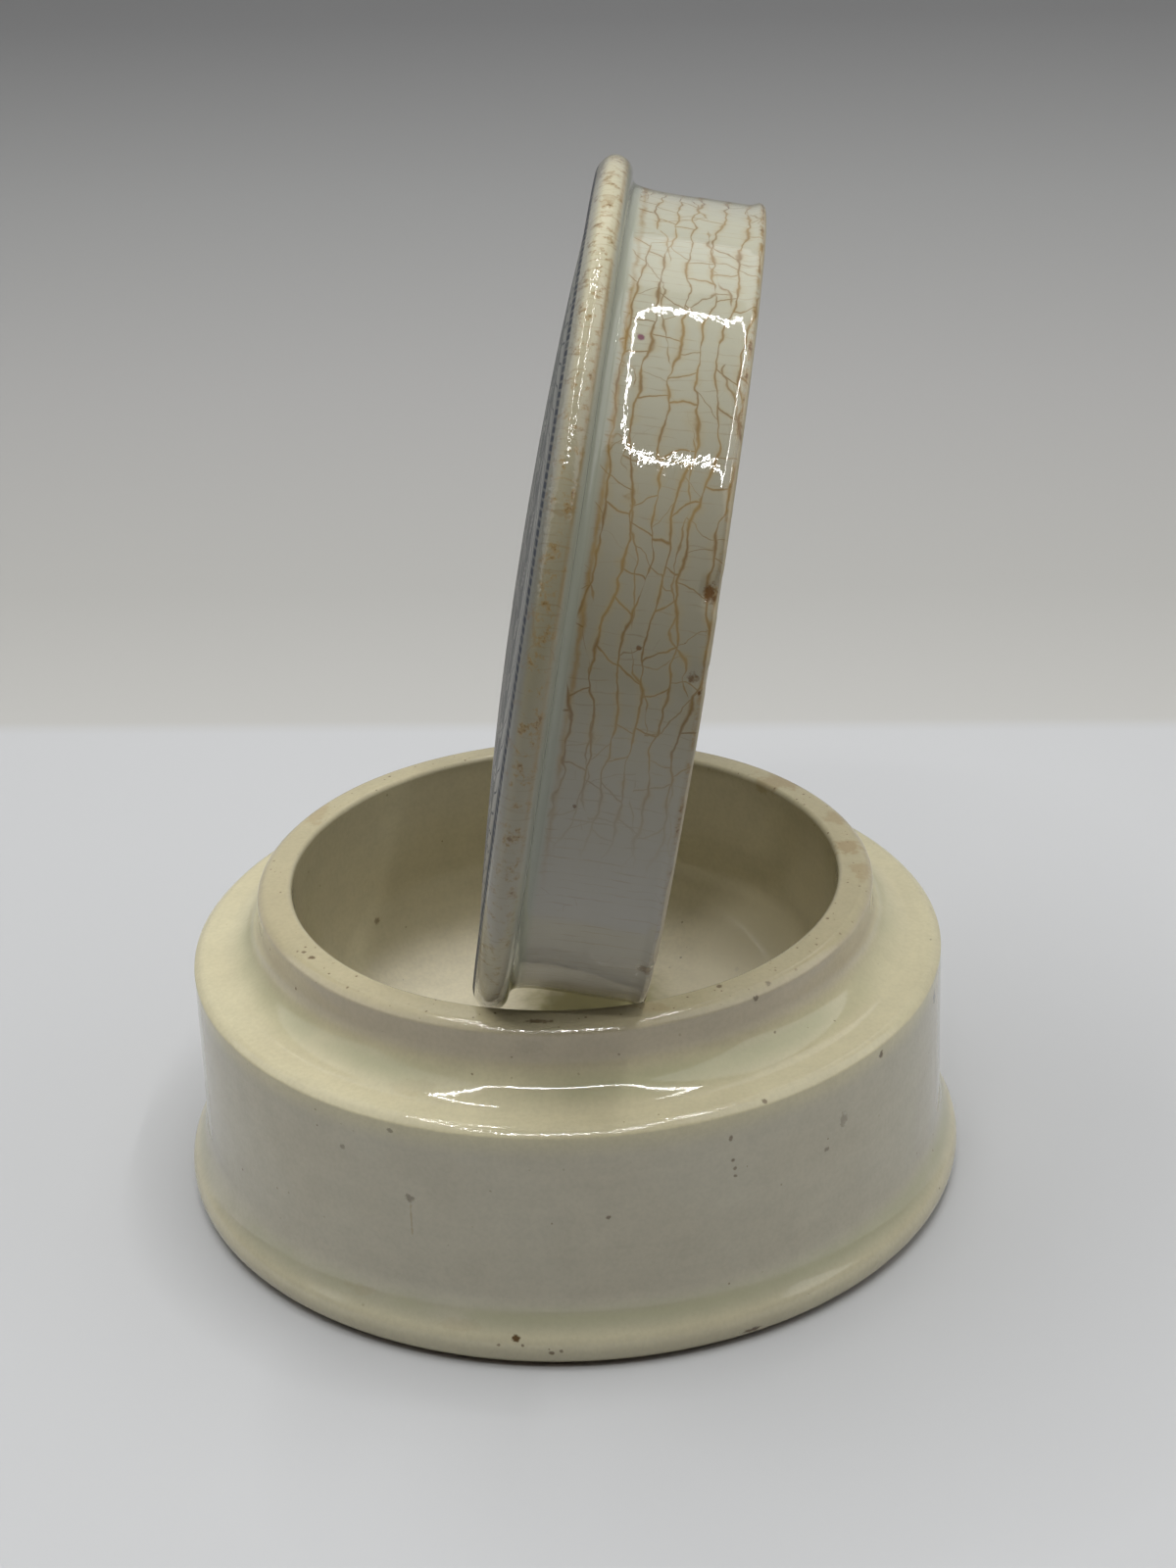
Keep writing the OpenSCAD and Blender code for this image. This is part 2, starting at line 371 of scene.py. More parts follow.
@dataclass
class Lid(TurnedPiece):
    """The lid: skirt, groove, bead and crowned face, standing on edge in the pot's mouth."""

    name: str = "lid_body"
    node: str = "lid"
    slot_name: str = "crazed_white_glaze"
    wobble: float = 0.07
    wobble_size: float = 14.0
    bore_r: float = 34.0
    lip_r: float = 37.35
    skirt_r: float = 37.25
    skirt_waist: float = 0.25
    skirt_steps: int = 48
    flare: tuple[Point, ...] = ((0.0, 26.6), (0.2, 26.2), (0.65, 18.4), (0.8, 5.0), (1.5, 1.0), (4.6, 0.0))
    lip_edge_r: float = 0.6
    groove_r: float = 0.8
    bead_x: float = 38.0
    bead_z: float = 14.0
    bead_r: float = 1.7
    bead_return: float = 30.0
    bead_tuck: float = 0.4
    crown_h: float = 1.9
    ceiling_z: float = 11.7
    ceiling_rise: float = 0.9
    ceiling_corner_r: float = 3.0
    lean: float = 9.85684
    stand: Triple = (13.7451, 0.0, 58.6539)
    chips: tuple[Chip, ...] = (
        Chip(angle=-64, radius=37.3, height=0.3, reach=1.5, depth=0.35),
        Chip(angle=-75, radius=37.3, height=0.2, reach=1.2, depth=0.3),
        Chip(angle=-126, radius=37.3, height=0.2, reach=1.3, depth=0.3),
        Chip(angle=40, radius=37.2, height=0.2, reach=1.4, depth=0.3),
        Chip(angle=118, radius=37.3, height=0.2, reach=1.1, depth=0.3),
    )

    def outline(self) -> list[Point]:
        """Points of the half section.

        Returns:
            The points, from the ceiling round the lip and over the face.
        """
        groove_x = self.skirt_r + self.groove_r
        reach = self.groove_r + self.bead_r
        groove_z = self.bead_z - math.sqrt(reach ** 2 - (self.bead_x - groove_x) ** 2)
        return self.hollow() + self.skirt(groove_z) + self.top(groove_x, groove_z)

    def hollow(self) -> list[Point]:
        """The ceiling, its corner, the bore and the lip.

        Returns:
            The points, from the axis outwards.
        """
        half = self.bore_r - self.ceiling_corner_r
        round_r = crown_radius(half, self.ceiling_rise)
        corner, lip = self.ceiling_corner_r, self.lip_edge_r
        return (arc(0, self.ceiling_z + self.ceiling_rise - round_r, round_r,
                    90, math.degrees(math.acos(half / round_r)))
                + arc(half, self.ceiling_z - corner, corner, 90, 0)
                + arc(self.bore_r + lip, lip, lip, 180, 270)
                + arc(self.lip_r - lip, lip, lip, 270, 360))

    def skirt(self, top_z: float) -> list[Point]:
        """The skirt: drawn in a little between lip and groove, and flared along the lip.

        Args:
            top_z: Where the groove starts.

        Returns:
            The points between lip and groove.
        """
        length = top_z - self.lip_edge_r
        count = self.skirt_steps
        middle = (self.lip_r + self.skirt_r) / 2 - self.skirt_waist
        loose = middle - self.flared(length / 2)
        made = []
        for t in [(1 - math.cos(math.pi * i / count)) / 2 for i in range(1, count)]:
            radius = self.skirt_r - self.skirt_waist * (1 - abs(2 * t - 1) ** 5)
            if t < 0.5:
                radius = self.flared(length * t) + loose * (1 - (1 - 2 * t) ** 3)
            made.append((radius, self.lip_edge_r + length * t))
        return made

    def flared(self, height: float) -> float:
        """Radius of the flared skirt at a height over the lip's edge.

        Args:
            height: The height over the start of the flare.

        Returns:
            The radius, from the slopes of the flare added up.
        """
        radius = self.lip_r
        for (low, steep), (high, mild) in zip(self.flare, self.flare[1:]):
            run = min(max(height - low, 0.0), high - low)
            end = steep + (mild - steep) * run / (high - low)
            radius -= run * math.tan(math.radians((steep + end) / 2))
        return radius

    def top(self, groove_x: float, groove_z: float) -> list[Point]:
        """The groove, the bead and the crowned face.

        Args:
            groove_x: Radius from the axis to the groove's centre.
            groove_z: Height of that centre.

        Returns:
            The points, from the skirt to the axis.
        """
        meet = math.degrees(math.atan2(self.bead_z - groove_z, self.bead_x - groove_x))
        back = math.radians(self.bead_return)
        face_r = self.bead_x - self.bead_r * math.sin(back) - self.bead_tuck * math.cos(back) ** 2
        face_z = self.bead_z + self.bead_r * math.cos(back)
        round_r = crown_radius(face_r, self.crown_h)
        bead = arc(self.bead_x, self.bead_z, self.bead_r, meet - 180, 90 + self.bead_return)
        bead = [(x - self.bead_tuck * max(0.0, (z - self.bead_z) / self.bead_r) ** 2, z) for x, z in bead]
        return (arc(groove_x, groove_z, self.groove_r, 180, meet) + bead
                + arc(0, face_z + self.crown_h - round_r, round_r,
                      math.degrees(math.acos(face_r / round_r)), 90))

    def place(self) -> Matrix:
        """Where the lid stands and how it leans, in metres."""
        turned = Euler((0.0, math.radians(self.lean - 90), 0.0))
        return Matrix.Translation(Vector(self.stand) * MM) @ turned.to_matrix().to_4x4()


# Finishes

class Signal:
    """What a node gives out; arithmetic on it adds the nodes for that, and | takes the greater."""

    def __init__(self, w: "Wiring", socket: bpy.types.NodeSocket) -> None:
        """Hold one output in a tree."""
        self.w = w
        self.socket = socket

    def join(self, operation: str, *values: "Value") -> "Signal":
        """One step of arithmetic, on numbers or on vectors as this output is."""
        kind = "ShaderNodeMath" if self.socket.type == "VALUE" else "ShaderNodeVectorMath"
        return self.w.signal(kind, dict(enumerate(values)), operation=operation)

    def __add__(self, other: "Value") -> "Signal":
        """The sum."""
        return self.join("ADD", self, other)

    def __sub__(self, other: "Value") -> "Signal":
        """The difference."""
        return self.join("SUBTRACT", self, other)

    def __rsub__(self, other: "Value") -> "Signal":
        """The difference from a constant."""
        return self.join("SUBTRACT", other, self)

    def __mul__(self, other: "Value") -> "Signal":
        """The product."""
        return self.join("MULTIPLY", self, other)

    def __truediv__(self, other: "Value") -> "Signal":
        """The quotient."""
        return self.join("DIVIDE", self, other)

    def __rtruediv__(self, other: "Value") -> "Signal":
        """A constant divided by this."""
        return self.join("DIVIDE", other, self)

    def __or__(self, other: "Value") -> "Signal":
        """The greater of the two."""
        return self.join("MAXIMUM", self, other)

    def __abs__(self) -> "Signal":
        """The value without its sign."""
        return self.join("ABSOLUTE", self)

    def scaled(self, factor: "Value") -> "Signal":
        """A vector times a number."""
        return self.w.signal("ShaderNodeVectorMath", {0: self, "Scale": factor}, operation="SCALE")

    def length(self) -> "Signal":
        """The length of a vector."""
        return self.w.signal("ShaderNodeVectorMath", {0: self}, "Value", operation="LENGTH")


Value = float | str | Sequence[float] | Signal


class Wiring:
    """Adds nodes to one tree and links them."""

    def __init__(self, tree: bpy.types.NodeTree) -> None:
        """Work on one tree."""
        self.tree = tree

    def feed(self, socket: bpy.types.NodeSocket, value: Value) -> None:
        """Link a socket, or set it, from a display colour where the value is a string."""
        if isinstance(value, Signal):
            self.tree.links.new(value.socket, socket)
        else:
            socket.default_value = linear(value) if isinstance(value, str) else value

    def node(self, kind: str, inputs: dict[str | int, Value], **settings: object) -> bpy.types.Node:
        """Add a node.

        Args:
            kind: The node's type.
            inputs: What each of its sockets takes.
            **settings: The node's own settings.

        Returns:
            The node.
        """
        made = self.tree.nodes.new(kind)
        for key, value in settings.items():
            setattr(made, key, value)
        for key, value in inputs.items():
            self.feed(made.inputs[key], value)
        return made

    def signal(self, kind: str, inputs: dict[str | int, Value], output: str | int = 0,
               **settings: object) -> Signal:
        """Add a node and take one of its outputs, the first if none is named."""
        return Signal(self, self.node(kind, inputs, **settings).outputs[output])

    def outputs(self, kind: str, inputs: dict[str | int, Value], **settings: object) -> dict[str, Signal]:
        """Add a node and take all its outputs by name."""
        return {socket.name: Signal(self, socket) for socket in self.node(kind, inputs, **settings).outputs}

    def math(self, operation: str, *values: Value) -> Signal:
        """One step of arithmetic for which there is no operator."""
        return self.signal("ShaderNodeMath", dict(enumerate(values)), operation=operation)

    def parts(self, value: Signal) -> list[Signal]:
        """The three numbers of a vector or a colour."""
        kind = "ShaderNodeSeparateColor" if value.socket.type == "RGBA" else "ShaderNodeSeparateXYZ"
        return list(self.outputs(kind, {0: value}).values())

    def point(self, x: Value, y: Value) -> Signal:
        """A vector in the plane."""
        return self.signal("ShaderNodeCombineXYZ", {"X": x, "Y": y})

    def step(self, value: Value, low: Value, high: Value, start: float = 0.0, end: float = 1.0) -> Signal:
        """A smooth step from start, where the value is low, to end, where it is high."""
        return self.signal("ShaderNodeMapRange", {"Value": value, "From Min": low, "From Max": high,
                                                  "To Min": start, "To Max": end},
                           "Result", interpolation_type="SMOOTHSTEP")

    def band(self, value: Value, low: float, high: float, soft: float) -> Signal:
        """A mask that is 1 between low and high, with soft borders."""
        return self.step(value, low - soft, low + soft) * self.step(value, high + soft, high - soft)

    def noise(self, vector: Value, size: float, detail: float, rough: float = 0.5,
              colour: bool = False) -> Signal:
        """Cloudy noise.

        Args:
            vector: Where it is read.
            size: The size of its waves.
            detail: How many finer waves are added.
            rough: How strong those are.
            colour: Whether three independent values are wanted.

        Returns:
            A value about 0.5, or a colour of three such values.
        """
        return self.signal("ShaderNodeTexNoise", {"Vector": vector, "Scale": 1 / size, "Detail": detail,
                                                  "Roughness": rough},
                           "Color" if colour else "Fac", noise_dimensions="3D")

    def sway(self, vector: Signal, wave: Triple, wander: Signal) -> Signal:
        """A shift by noise that is read at a vector, with the wave's size, detail and strength."""
        size, detail, strength = wave
        middle = (0.5, 0.5, 0.5)
        return (self.noise(vector, size, detail, colour=True) - middle).scaled(wander * strength)

    def mix(self, share: Value, under: Value, over: Value) -> Signal:
        """One colour over another.

        Args:
            share: How much of the second shows.
            under: The first colour.
            over: The second colour.

        Returns:
            The mixed colour.
        """
        made = self.node("ShaderNodeMix", {0: share}, data_type="RGBA", clamp_factor=True)
        lower, upper = (s for s in made.inputs if s.type == "RGBA")
        self.feed(lower, under)
        self.feed(upper, over)
        return Signal(self, next(s for s in made.outputs if s.type == "RGBA"))

    def layers(self, ground: Value, *coats: tuple[Signal, Value]) -> Value:
        """A ground colour with coats over it, each a share and a colour, the last on top."""
        for share, colour in coats:
            ground = self.mix(share, ground, colour)
        return ground


def either(masks: Sequence[Signal]) -> Signal:
    """The strongest of some masks at each place."""
    total = masks[0]
    for mask in masks[1:]:
        total = total | mask
    return total


class Carries(Enum):
    """What a socket of an effect carries."""

    NUMBER = "NodeSocketFloat"
    VECTOR = "NodeSocketVector"


class Effect:
    """A node group with named inputs and outputs, built once and placed wherever a finish needs it."""

    name: str
    takes: dict[str, float | Triple]
    gives: dict[str, Carries]

    def wire(self, w: Wiring, given: dict[str, Signal]) -> dict[str, Signal]:
        """Build the group's inside.

        Args:
            w: The group's wiring.
            given: The group's inputs by name.

        Returns:
            What each output is fed.
        """
        raise NotImplementedError

    def tree(self) -> bpy.types.NodeTree:
        """The group, built the first time it is asked for.

        Returns:
            Its tree.
        """
        made = bpy.data.node_groups.get(self.name)
        if made is None:
            made = bpy.data.node_groups.new(self.name, "ShaderNodeTree")
            for name, value in self.takes.items():
                kind = Carries.VECTOR if isinstance(value, tuple) else Carries.NUMBER
                socket = made.interface.new_socket(name, in_out="INPUT", socket_type=kind.value)
                socket.default_value = value
            for name, kind in self.gives.items():
                made.interface.new_socket(name, in_out="OUTPUT", socket_type=kind.value)
            w = Wiring(made)
            w.node("NodeGroupOutput", self.wire(w, w.outputs("NodeGroupInput", {})))
        return made

    def on(self, w: Wiring, **values: Value) -> dict[str, Signal]:
        """Place the group in a tree, with values for its inputs, and take its outputs by name."""
        return w.outputs("ShaderNodeGroup", values, node_tree=self.tree())


class RoundTheAxis(Effect):
    """Reads a place on a turned piece as a maker does: round it, out from its axis and up it."""

    name = "round the axis"
    takes = {"Place": (0.0, 0.0, 0.0), "Girth": 37.0}
    gives = {"Round": Carries.NUMBER, "Out": Carries.NUMBER, "Up": Carries.NUMBER, "Wrapped": Carries.VECTOR}

    def wire(self, w: Wiring, given: dict[str, Signal]) -> dict[str, Signal]:
        """Build the group: degrees round the axis, radius, height, and the surface unrolled.

        Args:
            w: The group's wiring.
            given: The group's inputs by name.

        Returns:
            What each output is fed.
        """
        x, y, up = w.parts(given["Place"])
        turn = w.math("ARCTAN2", y, x)
        return {"Round": w.math("DEGREES", turn), "Out": w.point(x, y).length(), "Up": up,
                "Wrapped": w.point(turn * given["Girth"], up)}


class LongCracks(Effect):
    """Long wandering cracks that run round a turned piece, with short links from one to the next."""

    name = "long cracks"
    takes = {"Place": (0.0, 0.0, 0.0), "Slant": 0.0, "Pitch": 2.2, "Link": 5.0, "Wander": 1.0,
             "Width": 0.25, "Whole": 0.45, "Linked": 0.5}
    gives = {"Line": Carries.NUMBER, "Stain": Carries.NUMBER}
    drawn_out = (0.6, 1.0, 1.0)
    slow = (6.5, 0.0, 4.5)
    middling = (2.6, 1.0, 1.9)
    quick = (0.7, 1.0, 0.32)
    breaks = (9.0, 2.0, 0.6)
    swells = (2.3, 2.0)
    row_shift = 31.7
    lane_shift = 17.3
    link_slant = 1.7
    link_spread = 0.6
    least_width = 0.001
    line_reach = 1.15
    stain_reach = 3.6

    def wire(self, w: Wiring, given: dict[str, Signal]) -> dict[str, Signal]:
        """Build the group: lines at a pitch, each broken by its own noise, and links between them.

        Args:
            w: The group's wiring.
            given: The group's inputs by name.

        Returns:
            What each output is fed.
        """
        along, aside, _ = w.parts(self.moved(w, given))
        rows = (aside + along * given["Slant"]) / given["Pitch"]
        row = w.math("ROUND", rows)
        here = w.point(along, row * self.row_shift)
        whole = w.step(w.noise(here, *self.breaks), given["Whole"] - 0.05, given["Whole"] + 0.08)
        swell = w.step(w.noise(here, *self.swells), 0.3, 0.75, 0.4, 1.4)
        line, stain = self.drawn(w, abs(rows - row) * given["Pitch"], given["Width"] * (whole * swell))
        link, tint = self.links(w, given, along, rows)
        return {"Line": line | link, "Stain": stain | tint}

    def moved(self, w: Wiring, given: dict[str, Signal]) -> Signal:
        """The place, shifted by slow, middling and quick noise."""
        place, wander = given["Place"], given["Wander"]
        return (place + w.sway(place * self.drawn_out, self.slow, wander)
                + w.sway(place, self.middling, wander) + w.sway(place, self.quick, wander))

    def links(self, w: Wiring, given: dict[str, Signal], along: Signal,
              rows: Signal) -> tuple[Signal, Signal]:
        """The links between two long cracks, each with its own place, slant and width, or left out.

        Args:
            w: The group's wiring.
            given: The group's inputs by name.
            along: The way along the long cracks.
            rows: The way across them, counted in cracks.

        Returns:
            The dark line and the stain beside it.
        """
        lane = w.math("FLOOR", rows)
        lift = (rows - lane - 0.5) * given["Pitch"]
        posts = (along + lane * self.lane_shift) / given["Link"]
        post = w.math("ROUND", posts)
        chance = w.signal("ShaderNodeTexWhiteNoise", {"Vector": w.point(lane, post)}, "Color",
                          noise_dimensions="2D")
        own, luck, slant = w.parts(chance)
        away = posts - post - (own - 0.5) * self.link_spread
        away = away * given["Link"] + (slant - 0.5) * (lift * self.link_slant)
        width = given["Width"] * w.math("LESS_THAN", luck, given["Linked"]) * (own * 0.5 + 0.35)
        return self.drawn(w, abs(away), width)

    def drawn(self, w: Wiring, away: Signal, width: Signal) -> tuple[Signal, Signal]:
        """The dark line and the stain beside it, from the distance to a crack."""
        width = width | self.least_width
        return (w.step(away, width * self.line_reach, 0.0) * w.step(width, 0.01, 0.1),
                w.step(away, width * self.stain_reach, 0.0) * w.step(width, 0.02, 0.2))


class CrackNet(Effect):
    """A net of fine cracks in a glaze, broken off here and there."""

    name = "crack net"
    takes = {"Place": (0.0, 0.0, 0.0), "Cell": (8.0, 2.4, 8.0), "Wander": 1.0, "Width": 0.25, "Whole": 0.45}
    gives = {"Line": Carries.NUMBER}
    slow = (4.5, 1.5, 3.0)
    quick = (1.1, 2.0, 0.7)
    breaks = (6.0, 3.0, 0.6)
    swells = (2.2, 2.0)
    irregular = 0.92
    reach = 0.04
    least_slope = 0.0004
    least_width = 0.001

    def wire(self, w: Wiring, given: dict[str, Signal]) -> dict[str, Signal]:
        """Build the group: cell borders, their distance in millimetres, and lines of changing width.

        Args:
            w: The group's wiring.
            given: The group's inputs by name.

        Returns:
            What the output is fed.
        """
        place, cell, wander, whole = (given[name] for name in ("Place", "Cell", "Wander", "Whole"))
        moved = place + w.sway(place, self.slow, wander) + w.sway(place, self.quick, wander)
        edge = self.border(w, moved, cell)
        round_by = self.border(w, moved + (self.reach, 0, 0), cell) - edge
        up_by = self.border(w, moved + (0, self.reach, 0), cell) - edge
        slope = w.math("SQRT", round_by * round_by + up_by * up_by) | self.least_slope
        kept = w.step(w.noise(place, *self.breaks), whole - 0.09, whole + 0.09)
        swell = w.step(w.noise(place, *self.swells), 0.3, 0.75, 0.45, 1.3)
        width = given["Width"] * (kept * swell) | self.least_width
        away = edge * self.reach / slope
        return {"Line": w.step(away, width, width * 0.25) * w.step(width, 0.01, 0.09)}

    def border(self, w: Wiring, place: Signal, cell: Signal) -> Signal:
        """Distance to the border of a net of cells, counted in cells."""
        return w.signal("ShaderNodeTexVoronoi", {"Vector": place / cell, "Scale": 1.0,
                                                 "Randomness": self.irregular},
                        "Distance", voronoi_dimensions="2D", feature="DISTANCE_TO_EDGE")


class Specks(Effect):
    """Scattered specks and pits, each of its own size, in a share of the cells of a net."""

    name = "specks"
    takes = {"Place": (0.0, 0.0, 0.0), "Spacing": 3.0, "Share": 0.3, "Size": 0.3}
    gives = {"Mask": Carries.NUMBER, "Tone": Carries.NUMBER}
    shake = (0.35, 2.0, 1.2)
    smallest = 0.25
    core = 0.45

    def wire(self, w: Wiring, given: dict[str, Signal]) -> dict[str, Signal]:
        """Build the group: a dot at a cell's point where the cell's own number is low enough.

        Args:
            w: The group's wiring.
            given: The group's inputs by name.

        Returns:
            What each output is fed.
        """
        place, spacing, size = given["Place"], given["Spacing"], given["Size"]
        cells = w.outputs("ShaderNodeTexVoronoi", {"Vector": place + w.sway(place, self.shake, size),
                                                   "Scale": 1.0 / spacing},
                          voronoi_dimensions="3D", feature="F1")
        luck, own, tone = w.parts(cells["Color"])
        radius = size * (w.math("POWER", own, 2.0) + self.smallest)
        dot = w.step(cells["Distance"] * spacing, radius, radius * self.core)
        return {"Mask": dot * w.math("LESS_THAN", luck, given["Share"]), "Tone": tone}


@dataclass(frozen=True)
class Mark:
    """A mark on a surface: where it is, how far it reaches each way and how strong it is."""

    centre: Triple
    reach: Triple
    strength: float


def marks(*rows: tuple[float, ...]) -> tuple[Mark, ...]:
    """Marks from rows of seven numbers: the centre, the reach each way and the strength."""
    return tuple(Mark(row[:3], row[3:6], row[6]) for row in rows)


class Ware:
    """A glaze's wiring, and where on its turned piece the glaze is read, in millimetres and degrees."""

    girth = 37.0
    torn = (3.0, 0.65)
    mark_edge = (1.1, 0.5)

    def __init__(self, w: Wiring, place: Signal) -> None:
        """Read the piece round its axis.

        Args:
            w: The material's wiring.
            place: Millimetres on the piece's own axes.
        """
        axes = RoundTheAxis().on(w, Place=place, Girth=self.girth)
        self.w = w
        self.place = place
        self.up = axes["Up"]
        self.out = axes["Out"]
        self.turn = axes["Round"]
        self.side = abs(self.turn)
        self.wrapped = axes["Wrapped"]

    def clouds(self, size: float, detail: float, rough: float = 0.5) -> Signal:
        """Cloudy noise on the piece."""
        return self.w.noise(self.place, size, detail, rough)

    def zone(self, heights: Point, radii: Point) -> Signal:
        """A mask that fades in between two heights and between two radii."""
        return self.w.step(self.up, *heights) * self.w.step(self.out, *radii)

    def marked(self, found: Sequence[Mark], rag: float, grain: float) -> Signal:
        """Some marks at known places, with ragged edges, as one mask.

        Args:
            found: The marks.
            rag: How ragged their edges are.
            grain: The size of the ragged edge's waves.

        Returns:
            The strongest of them at each place.
        """
        torn = (self.clouds(grain, *self.torn) - 0.5) * (rag * 4)
        return either([self.w.step(((self.place - mark.centre) / mark.reach).length() + torn,
                                   *self.mark_edge, 0.0, mark.strength) for mark in found])


class Finish:
    """A material made by nodes, read in the millimetres of a piece's own axes."""

    name: str
    index = 1.5

    def dress(self, piece: TurnedPiece, mesh: bpy.types.Object) -> None:
        """Make the material and put it on a piece.

        Args:
            piece: The turned piece, for its place.
            mesh: Its mesh.
        """
        made = bpy.data.materials.new(self.name)
        made.use_nodes = True
        made.node_tree.nodes.clear()
        w = Wiring(made.node_tree)
        stand = piece.place()
        place = w.signal("ShaderNodeMapping", {
            "Vector": w.signal("ShaderNodeTexCoord", {}, "Object"), "Scale": (MM, MM, MM),
            "Location": tuple(stand.to_translation()), "Rotation": tuple(stand.to_euler())},
            vector_type="TEXTURE")
        colour, roughness, height = self.surface(Ware(w, place))
        normal = w.signal("ShaderNodeBump", {"Height": height, "Distance": MM, "Strength": 1.0}, "Normal")
        shader = w.signal("ShaderNodeBsdfPrincipled", {"Base Color": colour, "Roughness": roughness,
                                                       "IOR": self.index, "Normal": normal}, "BSDF")
        w.node("ShaderNodeOutputMaterial", {"Surface": shader})
        mesh.data.materials.clear()
        mesh.data.materials.append(made)

    def surface(self, ware: Ware) -> tuple[Signal, Signal, Signal]:
        """Build the finish.

        Args:
            ware: The material's wiring and where it is read.

        Returns:
            Its colour, roughness and height in millimetres.
        """
        raise NotImplementedError


